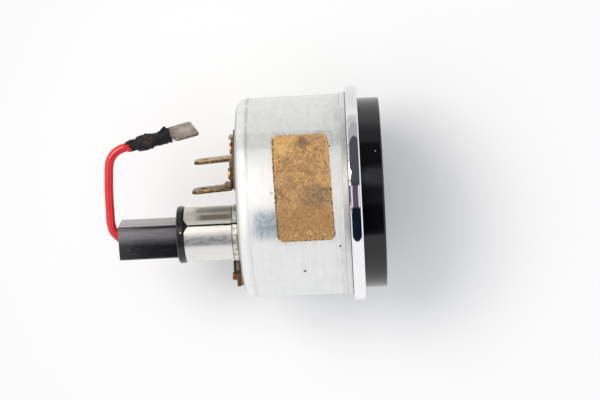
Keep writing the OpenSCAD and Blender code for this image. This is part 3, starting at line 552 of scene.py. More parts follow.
zinc = Finish("zinc_plate", Metallic=0.72)
spangle = zinc.noise(1.2, 5, 0.62)
clouds = zinc.noise(6.0, 4, 0.55, shift=11.0)
rings = zinc.noise(0.45, 3, 0.6, (30, 1, 30))
zinc.give(Base_Color=spangle.step(0.3, 0.7).mix((0.87, 0.88, 0.875), (0.925, 0.93, 0.915)),
          Roughness=clouds.blend(spangle.blend(0.52, 0.6), 0.64))
# Painted shade: the can's upper side, towards +X, is a shade darker.
zinc.coat(zinc.x.step(8, 14, 0.0, 0.8), spangle.mix((0.8, 0.815, 0.785), (0.86, 0.87, 0.84)))
zinc.coat(clouds.step(0.45, 0.62) * 0.3, (0.8, 0.82, 0.8))
zinc.coat(rings.step(0.45, 0.75) * spangle.step(0.35, 0.65) * 0.45, (0.67, 0.68, 0.65))
crown_side = zinc.z.step(0, 6)
# A blue-grey band across the crown: partly stain, partly a painted reflection of the dark ceiling.
stain_and_painted_reflection = (zinc.x.band(-8.4, -5.4, 3.4) * zinc.y.band(15.0, 21.9, 3.4) * crown_side
           * zinc.noise(1.0, 5, 0.72, (1.2, 1, 1.2), 8.0).step(0.3, 0.6, 0.5, 1.0))
zinc.coat(stain_and_painted_reflection * 0.95, (0.33, 0.4, 0.465))
zinc.coat(stain_and_painted_reflection * zinc.noise(0.4, 4, 0.7, shift=52.0).step(0.54, 0.66) * 0.5, (0.17, 0.2, 0.24))
# Painted reflection: a darker bluish band round the can's upper side.
painted_reflection_band = (zinc.x.band(12.5, 15.0, 3.2) + zinc.noise(2.4, 6, 0.72, shift=18.0)).step(1.15, 1.75)
zinc.coat(painted_reflection_band * 0.6, (0.58, 0.615, 0.63))
dirt_line = (zinc.y.band(2.0, 2.7, 1.3) + zinc.noise(0.8, 6, 0.72, (3, 1, 3), 21.0)).step(1.35, 1.8)
zinc.coat(dirt_line * zinc.x.band(-2.0, 8.0, 5.0).blend(0.4, 0.05), (0.42, 0.4, 0.34))
grimy = (zinc.y.step(11, 2, 0.55, 1.0) * zinc.x.step(8, 13)
         * zinc.noise(1.5, 6, 0.75, (1.6, 1, 1.6), 40.0).step(0.46, 0.66))
zinc.coat(grimy * 0.3, (0.44, 0.44, 0.37))
round_label = zinc.x.band(-12.2, 15.7, 0.9) * zinc.y.band(3.5, 18.9, 0.9)
label_halo = ((round_label + zinc.noise(0.8, 6, 0.72, shift=31.0)).step(1.4, 1.8) * crown_side
              * (zinc.x.step(9, 13) | zinc.x.step(-9, -12, 0.1, 0.5)))
zinc.coat(label_halo * 0.8, (0.38, 0.37, 0.3))
specks = (zinc.spot((-19.0, 12.0, 17.7), 0.28, 0.2) | zinc.spot((-13.1, 2.9, 22.5), 0.2, 0.2)
          | zinc.spot((0.1, 5.0, 26.0), 0.15, 0.2) | zinc.spot((11.7, 4.4, 23.2), 0.15, 0.2)
          | zinc.spot((0.8, 19.1, 26.0), 0.2, 0.3) * 0.4
          | zinc.noise(0.5, 1, 0.5, shift=17.0).step(0.8, 0.84) * 0.6)
zinc.coat(specks, (0.12, 0.13, 0.15))
corner_line = zinc.y.band(24.9, 25.15, 0.4) * zinc.noise(2.0, 4, 0.6, shift=26.0).step(0.25, 0.5)
zinc.coat(corner_line * zinc.x.step(2, 14, 0.15, 0.5), (0.4, 0.41, 0.39))
# Darker round the outermost back edge of the can.
darker_back_edge = zinc.y.step(27.2, 27.9) * zinc.noise(1.6, 5, 0.65, shift=36.0).step(0.25, 0.6, 0.5, 0.68)
zinc.coat(darker_back_edge, (0.34, 0.35, 0.36))
zinc.bump(rings, 0.014)
zinc.bump(zinc.noise(0.3, 3, 0.7, shift=4.0), 0.014)

corner_at = can_r - corner_r, can_back - corner_r
case_can = spun("case_can_shell", [(0, can_back - can_wall)]
    + arc(*corner_at, corner_r - can_wall, 90, 0)
    + [(can_r - can_wall, -1.15), (mouth_r, -1.15), (mouth_r, mouth_y), (neck_r, mouth_y),
       (neck_r, 1.6), (25.95, 1.62), (can_r, 1.75), (can_r, 25.3)]
    + arc(*corner_at, corner_r, 0, 90) + [(0, can_back)], closed=False)
cut(case_can, rod(6.98, 26, 30, tube_x, tube_z, 120), rod(2.25, 26, 30, *supply_at),
    rod(2.25, 26, 30, *sender_at), rod(1.03, 26, 30, earth_x))
fitted(smoothed(case_can, 28), "gauge", "zinc_steel", zinc, "case_can")

# The label: a brown paper patch glued on the can's crown, with rounded corners and one end a
# little narrower. Its edges are worn thin and its face is stained and creased; it stays bare.
label_low, label_high, label_near, label_far, label_corner_r = -11.4, 14.9, 3.95, 18.2, 1.6


def on_can(u, v):
    """Point of the label, drawn in X and Y and bent over the can, for u along X and v along Y."""
    near = label_near + 0.8 * u
    far = label_far + 0.4 * u
    y = near + (far - near) * v
    edge = min(y - near, far - y, label_corner_r)
    inset = label_corner_r - sqrt(label_corner_r ** 2 - (label_corner_r - edge) ** 2)
    x = label_low + inset + (label_high - label_low - 2 * inset) * u
    rim = min(u, 1 - u, v, 1 - v)
    ragged = 0.16 * max(0.0, 1 - rim * 16)
    x += ragged * noise.noise(Vector((x * 1.6, y * 1.6, 3)))
    y += ragged * noise.noise(Vector((x * 1.6, y * 1.6, 9)))
    lift = 0.05 + 0.05 * noise.noise(Vector((x * 0.5, y * 0.5, 5)))
    if x > 12.5 and y > 16:
        lift += 0.03
    radius = can_r + lift
    return (x, y, sqrt(radius * radius - x * x))


kraft = Finish("brown_paper")
fibres = kraft.noise(0.42, 5, 0.72, (1.5, 1, 1.5))
kraft.give(Base_Color=kraft.noise(1.9, 6, 0.72, shift=2.0).step(0.4, 0.6).mix(
    (0.33, 0.175, 0.056), (0.56, 0.315, 0.118)), Roughness=fibres.blend(0.55, 0.85))
kraft.coat(kraft.noise(5.0, 4, 0.6, shift=41.0).step(0.46, 0.62) * 0.35, (0.52, 0.325, 0.19))
kraft.coat(kraft.spot((13.0, 16.6, 22.0), 1.0, 4.5) * 0.6, (0.74, 0.44, 0.15))
kraft.coat(kraft.x.step(0, -6) * 0.7, (0.37, 0.195, 0.065))
kraft.coat(fibres.step(0.5, 0.66) * 0.75, (0.15, 0.075, 0.03))
kraft.coat(fibres.step(0.46, 0.32) * 0.35, (0.74, 0.5, 0.28))
ragged = (kraft.noise(1.3, 5, 0.75, shift=14.0) - 0.5) * (3.4 * MM)
edge_x = kraft.x + ragged
near_y = kraft.y - kraft.x * 0.03 + ragged
far_y = kraft.y - kraft.x * 0.015 + ragged
golden = (far_y.step(17.3, 17.7) * kraft.x.step(4, 7)
          | near_y.step(5.0, 4.7) * kraft.x.step(-2, 4, 0.2, 1.0)
          | edge_x.step(-10.8, -11.4) * 0.6 | edge_x.step(14.3, 14.8) * 0.7)
kraft.coat(golden * 0.85, (0.68, 0.36, 0.085))
rim = (far_y.step(17.9, 18.25) | near_y.step(4.6, 4.3)
       | edge_x.step(-11.1, -11.6) | edge_x.step(14.8, 15.2))
rim = rim * kraft.noise(1.3, 4, 0.7, shift=33.0).step(0.36, 0.52)
smear = (kraft.spot((12.9, 11.2, 22.5), 0.6, 3.4) + kraft.noise(0.9, 6, 0.72, shift=6.0)).step(1.05, 1.6)
ring = ((kraft.gap((-0.3, 6.3, 26.0)) + ragged * 0.5).band(1.2, 1.7, 0.3)
        * kraft.noise(0.7, 5, 0.75, shift=7.0).step(0.4, 0.58))
grey_patch = (kraft.spot((-0.3, 8.6, 26.0), 1.8, 5.0)
              + kraft.noise(0.7, 6, 0.72, shift=44.0)).step(1.1, 1.7)
flecked = kraft.noise(0.6, 4, 0.7, shift=19.0).step(0.55, 0.66) * (kraft.y.step(14.5, 16.8) | 0.25)
kraft.coat(smear * 0.6 | ring * 0.6 | flecked * 0.7 | rim * 0.95 | grey_patch * 0.62,
           (0.06, 0.038, 0.03))
fold = kraft.along((0.458, 0.889, 0.0)) + ragged * 0.4
folds = (fold.band(18.7, 18.9, 0.12) | fold.band(19.6, 19.75, 0.12)) * kraft.x.step(9.5, 10.5)
light_flecks = ((kraft.x.step(-7.8, -9.6) | kraft.spot((11.2, 16.0, 23.0), 0.8, 1.6))
                * kraft.noise(0.8, 4, 0.7, shift=27.0).step(0.54, 0.64))
kraft.coat((light_flecks | folds * 0.6) * 0.85, (0.72, 0.46, 0.22))
kraft.bump(kraft.noise(1.1, 6, 0.7, shift=15.0), 0.14)
kraft.bump(fibres, 0.035)

paper_label = laid("paper_label_patch", 150, 84, on_can)
worked(paper_label, "SOLIDIFY", thickness=0.1 * MM, offset=1.0)
fitted(smoothed(paper_label, 60), "gauge", "kraft_paper", kraft, "paper_label")

# The earth foot: a brown brass tag over a hard paper pad, riveted through the can's back near its
# edge. The rivet is peened over in a tall narrow head.
foot_y, shank_r, tail_y = 29.4, 1.0, 25.3


def rounded(points, r, steps=5):
    """An outline with each of its corners rounded to radius r."""
    ring = []
    for before, at, after in zip(points[-1:] + points[:-1], points, points[1:] + points[:1]):
        at = Vector(at)
        u, v = (Vector(before) - at).normalized(), (Vector(after) - at).normalized()
        half = u.angle(v) / 2
        centre = at + (u + v).normalized() * (r / sin(half))
        start, end = at + u * (r / tan(half)) - centre, at + v * (r / tan(half)) - centre
        for i in range(steps + 1):
            ring.append(tuple(centre + (start * (1 - i / steps) + end * i / steps).normalized() * r))
    return ring


def rectangle(x0, x1, half_z, r):
    return rounded([(x0, -half_z), (x1, -half_z), (x1, half_z), (x0, half_z)], r)


def brown_brass(name, base, light, bare, lit_side=None):
    """Old brass, browned and blotched, with bare metal left in places, and a painted highlight on one side.
    """
    finish = Finish(name, Metallic=0.75)
    patina = finish.noise(1.1, 5, 0.65)
    finish.give(Base_Color=patina.step(0.36, 0.66).mix(base, light), Roughness=patina.blend(0.3, 0.55))
    finish.coat(finish.noise(1.7, 4, 0.6, shift=9.0).step(0.6, 0.68) * 0.6, bare)
    if lit_side:
        normal = shade_node(finish.tree, "NewGeometry").outputs["Normal"]
        facing = Pattern(finish.tree, shade_node(finish.tree, "VectorMath", normal, lit_side,
                                                 operation="DOT_PRODUCT").outputs["Value"])
        # Painted highlight: lighter on faces that turn towards the given side.
        finish.coat(facing.step(0.86, 0.96) * patina.step(0.38, 0.56, 0.25, 1.0), (0.58, 0.385, 0.185))
    finish.coat(finish.noise(0.28, 3, 0.7, shift=5.0).step(0.56, 0.72) * 0.75, (0.035, 0.025, 0.018))
    finish.bump(finish.noise(0.3, 3), 0.03)
    return finish


def mottled(name, low, high, tone, rough, relief=0.0):
    """A dull finish of two tones, for the noise that parts them, one roughness or two, and a relief."""
    finish = Finish(name)
    tones = finish.noise(*tone)
    finish.give(Base_Color=tones.mix(low, high),
                Roughness=tones.blend(*rough) if isinstance(rough, tuple) else rough)
    if relief:
        finish.bump(tones, relief)
    return finish


earth_brass = brown_brass("earth_brass", (0.1, 0.055, 0.028), (0.24, 0.15, 0.085), (0.4, 0.27, 0.16))
upper = earth_brass.x.step(-19.6, -19.1)
earth_brass.coat(upper * 0.75, (0.2, 0.175, 0.115))
# Painted shadow: the folded lip is coloured dark, as if in shade.
earth_brass.coat(upper * earth_brass.y.step(30.2, 30.4), (0.035, 0.04, 0.045))
# Painted shadow: a dark band across the tag along the rivet head's upper edge.
earth_brass.coat(earth_brass.x.band(-19.4, -18.9, 0.5) * 0.8, (0.02, 0.014, 0.009))
earth_tag = drawn("earth_tag_plate", rectangle(-2.7, 4.1, 3.0, 0.8), 0.8)
fold_lip = eased(drawn("fold_lip", rectangle(1.2, 4.1, 2.6, 0.4), 0.9), 0.2)
cut(earth_tag, placed(fold_lip, moved(y=0.7)), how="UNION")
placed(eased(earth_tag, 0.12), moved(earth_x, foot_y))
fitted(smoothed(earth_tag), "gauge", "aged_brass", earth_brass, "earth_tag")

pad_brown = mottled("pad_brown", (0.12, 0.07, 0.04), (0.3, 0.19, 0.115), (0.7, 5, 0.65, (3, 1, 1)), 0.6, 0.05)
earth_pad = eased(drawn("earth_pad_plate", rectangle(-2.4, 3.3, 2.7, 0.8), 1.3), 0.15)
placed(earth_pad, moved(earth_x, can_back))
fitted(smoothed(earth_pad), "gauge", "insulator_paper", pad_brown, "earth_pad")


def rivet(name, x, z, seat, head, height, dish):
    """A copper rivet: its head behind seat, dished where the punch struck, its tail inside the can."""
    outline = [(0, seat + height - dish)]
    if dish:
        outline += [(head * 0.42, seat + height - dish), (head * 0.6, seat + height - 0.03)]
    outline += arc(head - 0.32, seat + height - 0.32, 0.32, 90, 0, 6)
    outline += [(head, seat + 0.06), (head - 0.06, seat), (shank_r, seat), (shank_r, tail_y),
                (1.55, tail_y), (1.55, 25.0), (1.15, 24.8), (0, 24.8)]
    return smoothed(placed(spun(name, outline, 64, closed=False), moved(x, 0, z)))


old_copper = Finish("old_copper", Metallic=0.9)
# Painted highlight: a bright orange glint on the upper part of each dished rivet head, which is smoother
# there.
painted_glint = old_copper.spot((13.0, 30.3, 4.1), 0.62, 0.4) | old_copper.spot((6.3, 30.3, 13.1), 0.62, 0.4)
old_copper.give(Base_Color=old_copper.noise(0.8, 5, 0.65).step(0.38, 0.62).mix(
    (0.13, 0.055, 0.028), (0.34, 0.16, 0.08)), Roughness=painted_glint.blend(0.5, 0.3))
old_copper.coat(painted_glint, (0.86, 0.4, 0.13))
old_copper.bump(old_copper.noise(0.4, 3), 0.03)
earth_rivet = rivet("earth_rivet_peened", earth_x, 0, 30.2, 1.1, 1.3, 0)
fitted(earth_rivet, "gauge", "rivet_copper", old_copper, "earth_rivet")

# The two live terminals: L-shaped brass blades, 6.3 mm by 0.8 mm, side by side on one hard paper
# plate. Each is riveted through its base; the sender's blade is doubled at its root.
plate_t = 1.0
hard_paper = Finish("hard_paper")
layers = hard_paper.noise(0.6, 4, 0.65, (3, 0.4, 3))
dust = hard_paper.noise(0.9, 5, 0.7, shift=3.0).step(0.46, 0.7)
hard_paper.give(Base_Color=layers.mix((0.045, 0.028, 0.013), (0.15, 0.092, 0.04)),
                Roughness=dust.blend(0.45, 0.75))
hard_paper.coat(dust * 0.7, (0.3, 0.205, 0.098))
hard_paper.bump(layers, 0.05)
insulator = drawn("insulator_plate", rounded(
    [(2.1, 15.6), (9.4, 15.6), (17.7, 7.2), (17.7, -1.2), (9.6, -1.2), (2.1, 8.2)], 1.5), plate_t)
placed(eased(insulator, 0.12), moved(y=can_back))
fitted(smoothed(insulator), "gauge", "insulator_paper", hard_paper, "terminal_insulator")

blade_brass = brown_brass("blade_brass", (0.07, 0.043, 0.018), (0.25, 0.16, 0.075), (0.64, 0.42, 0.2),
                          (0.98, 0.05, 0.17))
lower_blade = blade_brass.x.step(6.5, 5.5)
browned = blade_brass.noise(0.8, 4, 0.7, shift=21.0).step(0.36, 0.6, 0.35, 0.9)
blade_brass.coat(lower_blade * browned, (0.055, 0.034, 0.017))
worn = blade_brass.noise(0.55, 4, 0.7, (1, 3.2, 1), 31.0).step(0.5, 0.62)
blade_brass.coat(lower_blade * worn * 0.75, (0.52, 0.34, 0.145))
blade_w, blade_t, blade_l, blade_turn = 6.3, 0.8, 10.7, -10
heel_r, toe_r, blade_lean, tip_cut, hole_r = 1.0, 0.3, 0.6, 1.2, 0.8


def terminal(name, at, blade_x, base_x, root_t, root_l, lip):
    """A blade on its base: its side view drawn flat, made as wide as the blade, then trimmed."""
    in_x, out_x = blade_x - blade_t / 2, blade_x + blade_t / 2
    side = arc(in_x + heel_r, heel_r, heel_r, -90, -180, 6)
    side += [(in_x - blade_lean, blade_l), (out_x - blade_lean, blade_l), (out_x, root_l)]
    if root_t:
        side += [(out_x + root_t, root_l - 0.2)]
    side += arc(out_x + root_t + toe_r, blade_t + toe_r, toe_r, 180, 270, 4)
    side += [(base_x - 0.5, blade_t), (base_x - 0.2, blade_t + lip), (base_x + 0.2, blade_t + lip),
             (base_x, 0)]
    piece = placed(drawn(name, side, blade_w), turned("X", -90), moved(z=blade_w / 2))
    hold(piece)
    bpy.ops.object.mode_set(mode="EDIT")
    for up in (-1, 1):
        bpy.ops.mesh.select_all(action="SELECT")
        bpy.ops.mesh.bisect(plane_co=(0, (blade_l - tip_cut) * MM, up * blade_w / 2 * MM),
                            plane_no=(0, 1.0, up * tip_cut), use_fill=True, clear_outer=True)
    outward()
    hole = placed(rod(hole_r, -3, 3, sides=40), turned("Z", 90), moved(blade_x - 0.4, blade_l - 3))
    eased(cut(piece, hole), 0.1, 2)
    placed(piece, turned("Y", blade_turn), moved(at[0], can_back + plate_t, at[1]))
    fitted(smoothed(piece), "gauge", "aged_brass", blade_brass, name.replace("blade", "terminal"))


terminal("supply_blade", supply_at, -2.5, 3.2, 0, 1.4, 0.6)
terminal("sender_blade", sender_at, -3.5, 3.4, 0.7, 2.7, 0.05)
for name, at in (("supply_rivet", supply_at), ("sender_rivet", sender_at)):
    piece = rivet(name + "_dished", *at, can_back + plate_t + blade_t, 1.55, 0.6, 0.25)
    fitted(piece, "gauge", "rivet_copper", old_copper, name)

# The lamp's tube: rolled from nickelled sheet with an open seam and a V notch at its end, its
# foot flanged inside the can. A thin collar sits round its root, split along the same seam.
tube_r, tube_in_r, tube_foot, tube_end = 6.93, 6.45, 26.8, 42.2
seam_turn, seam_half = 18.4, 0.25


def seam(start, end):
    """A flat bar along Y, for cutting the seam with, in mm."""
    deselect()
    bpy.ops.mesh.primitive_cube_add(size=MM)
    return placed(bpy.context.object, Matrix.Diagonal((2 * seam_half, end - start, 6, 1)),
                  moved(0, (start + end) / 2, 6))


def on_tube(piece, degrees=seam_turn):
    """Put a piece drawn round the Y axis on the lamp's axis, turned to the seam."""
    return placed(piece, turned("Y", degrees), moved(tube_x, 0, tube_z))


nickel = Finish("nickel_plate", Metallic=0.9)
frost = nickel.noise(0.9, 5, 0.65)
speckle = nickel.noise(0.35, 4, 0.7, shift=6.0).step(0.58, 0.7)
tarnish = nickel.x.step(-6.6, -5.9) * nickel.noise(2.2, 4, 0.6, shift=13.0).step(0.28, 0.46)
brown_streak = (nickel.x.band(-4.9, -4.1, 0.6) * nickel.y.band(31, 37, 3)
                * nickel.noise(1.2, 5, 0.65, (1, 3.5, 1), 2.0).step(0.0, 0.28))
nickel.give(Base_Color=frost.mix((0.74, 0.73, 0.7), (0.88, 0.88, 0.86)),
            Roughness=(tarnish | brown_streak).blend(frost.blend(0.27, 0.4), 0.44))
nickel.coat(tarnish * 0.85, frost.mix((0.6, 0.57, 0.48), (0.84, 0.82, 0.74)))
nickel.coat(brown_streak * 0.85, (0.17, 0.135, 0.08))
nickel.coat(nickel.x.band(-15.4, -13.6, 0.7) * speckle * 0.7, (0.16, 0.12, 0.09))
# Painted reflection: bluish spots along the band where the tube reflects the dark ceiling.
painted_reflection_spots = nickel.noise(0.7, 4, 0.65, (0.8, 3.2, 0.8), 16.0).step(0.42, 0.62)
nickel.coat(nickel.x.band(-11.2, -9.4, 0.6) * painted_reflection_spots * 0.55, (0.26, 0.3, 0.34))
nickel.coat(speckle * 0.25, (0.45, 0.42, 0.36))
root_line = nickel.y.band(29.75, 30.0, 0.12) * nickel.noise(2.0, 4, 0.65, shift=24.0).step(0.25, 0.5)
nickel.coat(root_line * 0.8, (0.05, 0.06, 0.07))
nickel.bump(frost, 0.012)

lamp_tube = spun("lamp_tube_rolled", [
    (tube_in_r, tube_foot + 0.5), (tube_in_r, tube_end - 0.1), (tube_in_r + 0.1, tube_end),
    (tube_r - 0.12, tube_end), (tube_r, tube_end - 0.12), (tube_r, tube_foot + 0.6),
    (tube_r + 0.15, tube_foot + 0.5), (8.3, tube_foot + 0.5), (8.43, tube_foot + 0.4),
    (8.43, tube_foot), (6.69, tube_foot), (6.69, tube_foot + 0.5)], 144)
notch = drawn("notch", [(-1.9, 0.3), (-1.8, 0.0), (0.0, -1.3), (1.8, 0.0), (1.9, 0.3)], 6)
placed(notch, turned("X", -90), moved(0, tube_end, 9))
on_tube(cut(lamp_tube, seam(28.1, 43), notch))
fitted(smoothed(lamp_tube), "gauge", "tube_nickel", nickel, "lamp_tube")

tube_collar = spun("tube_collar_split", [
    (6.96, 28.1), (6.96, 29.8), (7.1, 29.8), (7.18, 29.7), (7.18, 28.2), (7.1, 28.1)], 144)
on_tube(cut(tube_collar, seam(27.6, 31)))
dulled = Finish("collar_tarnish", Metallic=0.85)
yellowed = dulled.noise(1.0, 5, 0.65)
dulled.give(Base_Color=yellowed.step(0.36, 0.56).mix((0.44, 0.41, 0.32), (0.86, 0.85, 0.77)),
            Roughness=yellowed.blend(0.3, 0.5))
# Painted shadow: the collar darker at its foot against the can.
collar_foot_shadow = (dulled.y + yellowed * (0.4 * MM)).step(29.1, 28.8)
dulled.coat(collar_foot_shadow * 0.8, (0.19, 0.195, 0.165))
dulled.bump(yellowed, 0.03)
fitted(smoothed(tube_collar), "gauge", "tube_nickel", dulled, "tube_collar")

# The lamp holder: black phenolic, pushed into the tube by its hollow spigot up to a flange, with a
# square block behind that takes the lead. Its corners are rubbed and its faces scratched.
flange_y, block_y, block_end, socket_floor = 42.25, 44.0, 59.1, 43.0
block_turn = -12.7
block_dx, block_dz = -0.65, -0.95
wire_x, wire_z = -8.886, 8.982

phenolic = Finish("black_phenolic")
rubbed = phenolic.noise(0.5, 4, 0.7, (1, 6, 1))
scratches = phenolic.noise(0.16, 3, 0.7, (1, 14, 1), 3.0).step(0.6, 0.72)
flecks = phenolic.noise(0.4, 3, 0.7, shift=8.0).step(0.7, 0.76)
facet_gap = phenolic.along((0.9755, 0.0, 0.2198))
# Painted highlight: the block's top facet is made lighter, for its sheen.
facet_sheen = facet_gap.step(-2.8, -2.74) * phenolic.y.step(44.1, 44.3)
# The front face greyer towards its top.
greyed = (phenolic.x.step(-11.2, -8.0) * facet_gap.step(-2.95, -3.9) * phenolic.y.step(43.8, 44.2)
         * phenolic.noise(0.9, 5, 0.7, (1, 5, 1), 6.0).step(0.2, 0.6, 0.55, 1.0))
scuffed = phenolic.x.band(-8.4, -7.1, 0.35) * phenolic.y.step(44, 45)
phenolic.give(Base_Color=rubbed.mix((0.006, 0.0055, 0.0065), (0.015, 0.0135, 0.015)),
              Roughness=rubbed.blend(0.18, 0.3))
phenolic.coat(greyed * 0.85, (0.22, 0.21, 0.225))
phenolic.coat(scuffed * scratches.step(0.0, 0.3) * 0.6, (0.36, 0.34, 0.35))
phenolic.coat(scratches * scuffed.blend(0.12, 0.8), (0.3, 0.28, 0.29))
phenolic.coat(facet_sheen * rubbed.blend(0.7, 1.0), (0.3, 0.285, 0.28))
phenolic.coat(flecks * 0.4 | phenolic.spot((-8.0, 42.9, 17.2), 0.16, 0.15), (0.5, 0.48, 0.46))
phenolic.bump(phenolic.noise(2.0, 3), 0.06)
phenolic.bump(scratches, 0.012)

holder_body = spun("holder_turned", [
    (0, socket_floor), (5.6, socket_floor), (5.6, 34.15), (5.75, 34.0), (6.25, 34.0),
    (6.4, 34.2), (6.4, flange_y - 0.03), (7.0, flange_y), (7.3, flange_y + 0.3),
    (7.3, block_y - 0.3), (7.0, block_y), (0, block_y)], 144, closed=False)
on_tube(holder_body, block_turn)
holder_block = drawn("holder_block", rectangle(-4.35, 4.35, 4.7, 0.7), block_end - block_y + 0.1)
placed(eased(holder_block, 0.18), moved(y=block_y - 0.1), turned("Y", block_turn),
       moved(tube_x + block_dx, 0, tube_z + block_dz))
cut(holder_body, holder_block, how="UNION")
cut(holder_body, rod(1.2, 57.2, 60, wire_x, wire_z, 48))
smoothed(named(holder_body, "holder_moulding"))
fitted(holder_body, "lamp_holder", "holder_black", phenolic, "holder_body")

# Inside the holder: two spring brass leaves grip the bulb's flat glass base, one live on the wire,
# one folded out to the tube. The capless bulb is one blown glass with two wires and a filament.


def painted(finish, *names):
    """Give CAD nodes their finish."""
    for name in names:
        finish.cover(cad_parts[name])


def satin_metal(name, low, high, size=0.9, rough=(0.25, 0.42), stretch=(1, 1, 1)):
    """Turned, pressed or drawn metal with a faint grain and cloudy tones."""
    finish = Finish(name, Metallic=1.0)
    marks = finish.noise(size / 4, 3, 0.6, stretch, 4.0)
    finish.give(Base_Color=finish.noise(size, 5, 0.6).mix(low, high), Roughness=marks.blend(*rough))
    finish.bump(marks, 0.01)
    return finish


painted(satin_metal("spring_brass", (0.6, 0.38, 0.15), (0.8, 0.56, 0.26), rough=(0.22, 0.4)),
        "feed_contact", "earth_contact")
clear_glass = Finish("clear_glass", Base_Color=(0.97, 0.99, 0.985), Transmission_Weight=1.0, IOR=1.5)
clear_glass.give(Roughness=clear_glass.noise(3.0, 4, 0.6).step(0.5, 0.8).blend(0.0, 0.06))
painted(clear_glass, "bulb_glass")
painted(satin_metal("filament_wire", (0.3, 0.28, 0.26), (0.5, 0.47, 0.44), 0.3), "bulb_filament")

# The movement, which the can hides: two brass plates on turned pillars, a moulded former that
# carries two crossed coils, a soft iron shield, and a hard paper board with a resistor.
painted(satin_metal("plate_brass", (0.66, 0.46, 0.2), (0.82, 0.62, 0.32), 2.5, (0.22, 0.38), (8, 1, 1)),
        "front_plate", "rear_plate", "frame_pillars", "front_bearing", "rear_bearing", "dial_posts")
painted(satin_metal("bright_screw", (0.58, 0.58, 0.57), (0.76, 0.76, 0.75), 0.8, (0.2, 0.35)),
        "plate_screws", "pointer_shaft")
painted(satin_metal("shield_iron", (0.4, 0.4, 0.41), (0.58, 0.58, 0.59), 1.8, (0.35, 0.55), (1, 6, 1)),
        "magnetic_shield")
painted(satin_metal("magnet_iron", (0.07, 0.07, 0.075), (0.15, 0.15, 0.16), 0.6, (0.45, 0.65)),
        "magnet_rotor")
painted(satin_metal("tag_tin", (0.5, 0.48, 0.44), (0.7, 0.68, 0.64), 0.7, (0.3, 0.5)), "solder_tags")

nylon = Finish("former_nylon", Roughness=0.45, Subsurface_Weight=0.1,
               Subsurface_Radius=(0.001, 0.0008, 0.0006))
nylon.give(Base_Color=nylon.noise(1.6, 4).mix((0.66, 0.6, 0.45), (0.8, 0.76, 0.62)))
nylon.bump(nylon.noise(0.5, 3), 0.02)
painted(nylon, "former_front", "former_rear")


def wire_turns(name, axis, low, high):
    """Enamelled copper laid in fine turns of 0.14 mm, stacked along one axis."""
    finish = Finish(name, Metallic=0.7, Roughness=0.3)
    turns = (getattr(finish, axis) / (0.14 * MM / tau)).sum("SINE")
    finish.give(Base_Color=(finish.noise(0.8, 4, 0.6) * turns.step(-1.0, 0.4, 0.5, 1.0)).mix(low, high))
    finish.bump(turns, 0.02)
    return finish


painted(wire_turns("coil_wire_across", "z", (0.22, 0.06, 0.025), (0.66, 0.26, 0.11)), "coil_across")
painted(wire_turns("coil_wire_upright", "x", (0.2, 0.05, 0.02), (0.6, 0.22, 0.09)), "coil_upright")
painted(satin_metal("lead_copper", (0.34, 0.1, 0.04), (0.6, 0.24, 0.1), 0.5, (0.2, 0.35)), "inner_leads")
painted(mottled("board_paper", (0.16, 0.075, 0.03), (0.32, 0.17, 0.08), (0.5, 4, 0.65, (6, 1, 1)),
                (0.35, 0.6), 0.02), "inner_board", "terminal_bushes")

lacquer = Finish("tan_lacquer", Roughness=0.35)
lacquer.give(Base_Color=lacquer.noise(0.9, 3).mix((0.52, 0.36, 0.2), (0.66, 0.5, 0.32)))
for start, tint in ((1.5, (0.35, 0.1, 0.03)), (3.0, (0.02, 0.02, 0.02)), (4.5, (0.75, 0.12, 0.02)),
                    (6.3, (0.6, 0.42, 0.1))):
    lacquer.coat(lacquer.x.band(start, start + 0.6, 0.05), tint)
bare_lead = lacquer.x.step(0.5, 0.45) | lacquer.x.step(7.5, 7.55)
lacquer.coat(bare_lead, (0.62, 0.6, 0.56))
lacquer.give(Metallic=bare_lead)
painted(lacquer, "trim_resistor")

# The dial: a black plate with plain white numbers and ticks from 50 to 150 degrees, held by two
# blackened screws. A clear ring behind its edge spreads the bulb's light.
dial_y, ink_t, sweep = 3.0, 0.06, 50
tick_end, number_r, number_size = 21.2, 14.4, 3.7
painted(mottled("dial_black", (0.01, 0.01, 0.011), (0.022, 0.022, 0.024), (0.3, 4, 0.7),
                (0.5, 0.72), 0.01), "dial_plate")
painted(satin_metal("screw_black", (0.03, 0.03, 0.032), (0.08, 0.08, 0.085), 0.6, (0.3, 0.5)), "dial_screws")
ring_acrylic = Finish("ring_acrylic", Base_Color=(0.62, 0.9, 0.74), Transmission_Weight=1.0, IOR=1.49)
ring_acrylic.give(Roughness=ring_acrylic.noise(1.5, 3).blend(0.12, 0.3))
painted(ring_acrylic, "light_ring")

dial_white = mottled("dial_white", (0.7, 0.69, 0.64), (0.86, 0.85, 0.8), (0.35, 4, 0.65), 0.55, 0.01)
dial_red = mottled("dial_red", (0.5, 0.03, 0.02), (0.66, 0.06, 0.035), (0.35, 4, 0.65), 0.55)

ticks = []
for i in range(21):
    inner, half_w = (17.6, 0.42) if i % 5 == 0 else (19.4, 0.2)
    wide = half_w * 1.15
    tick = drawn("tick", [(-half_w, inner), (half_w, inner), (wide, tick_end), (-wide, tick_end)], ink_t)
    ticks.append(placed(tick, turned("Y", -sweep + i * 5), moved(y=dial_y - ink_t)))
fitted(joined("dial_ticks", ticks), "gauge", "dial_print", dial_white)

hot_arc = drawn("dial_hot_arc", arc(0, 0, 21.9, 60, 40, 16) + arc(0, 0, 21.4, 40, 60, 16), ink_t)
fitted(placed(hot_arc, moved(y=dial_y - ink_t)), "gauge", "dial_print", dial_red)


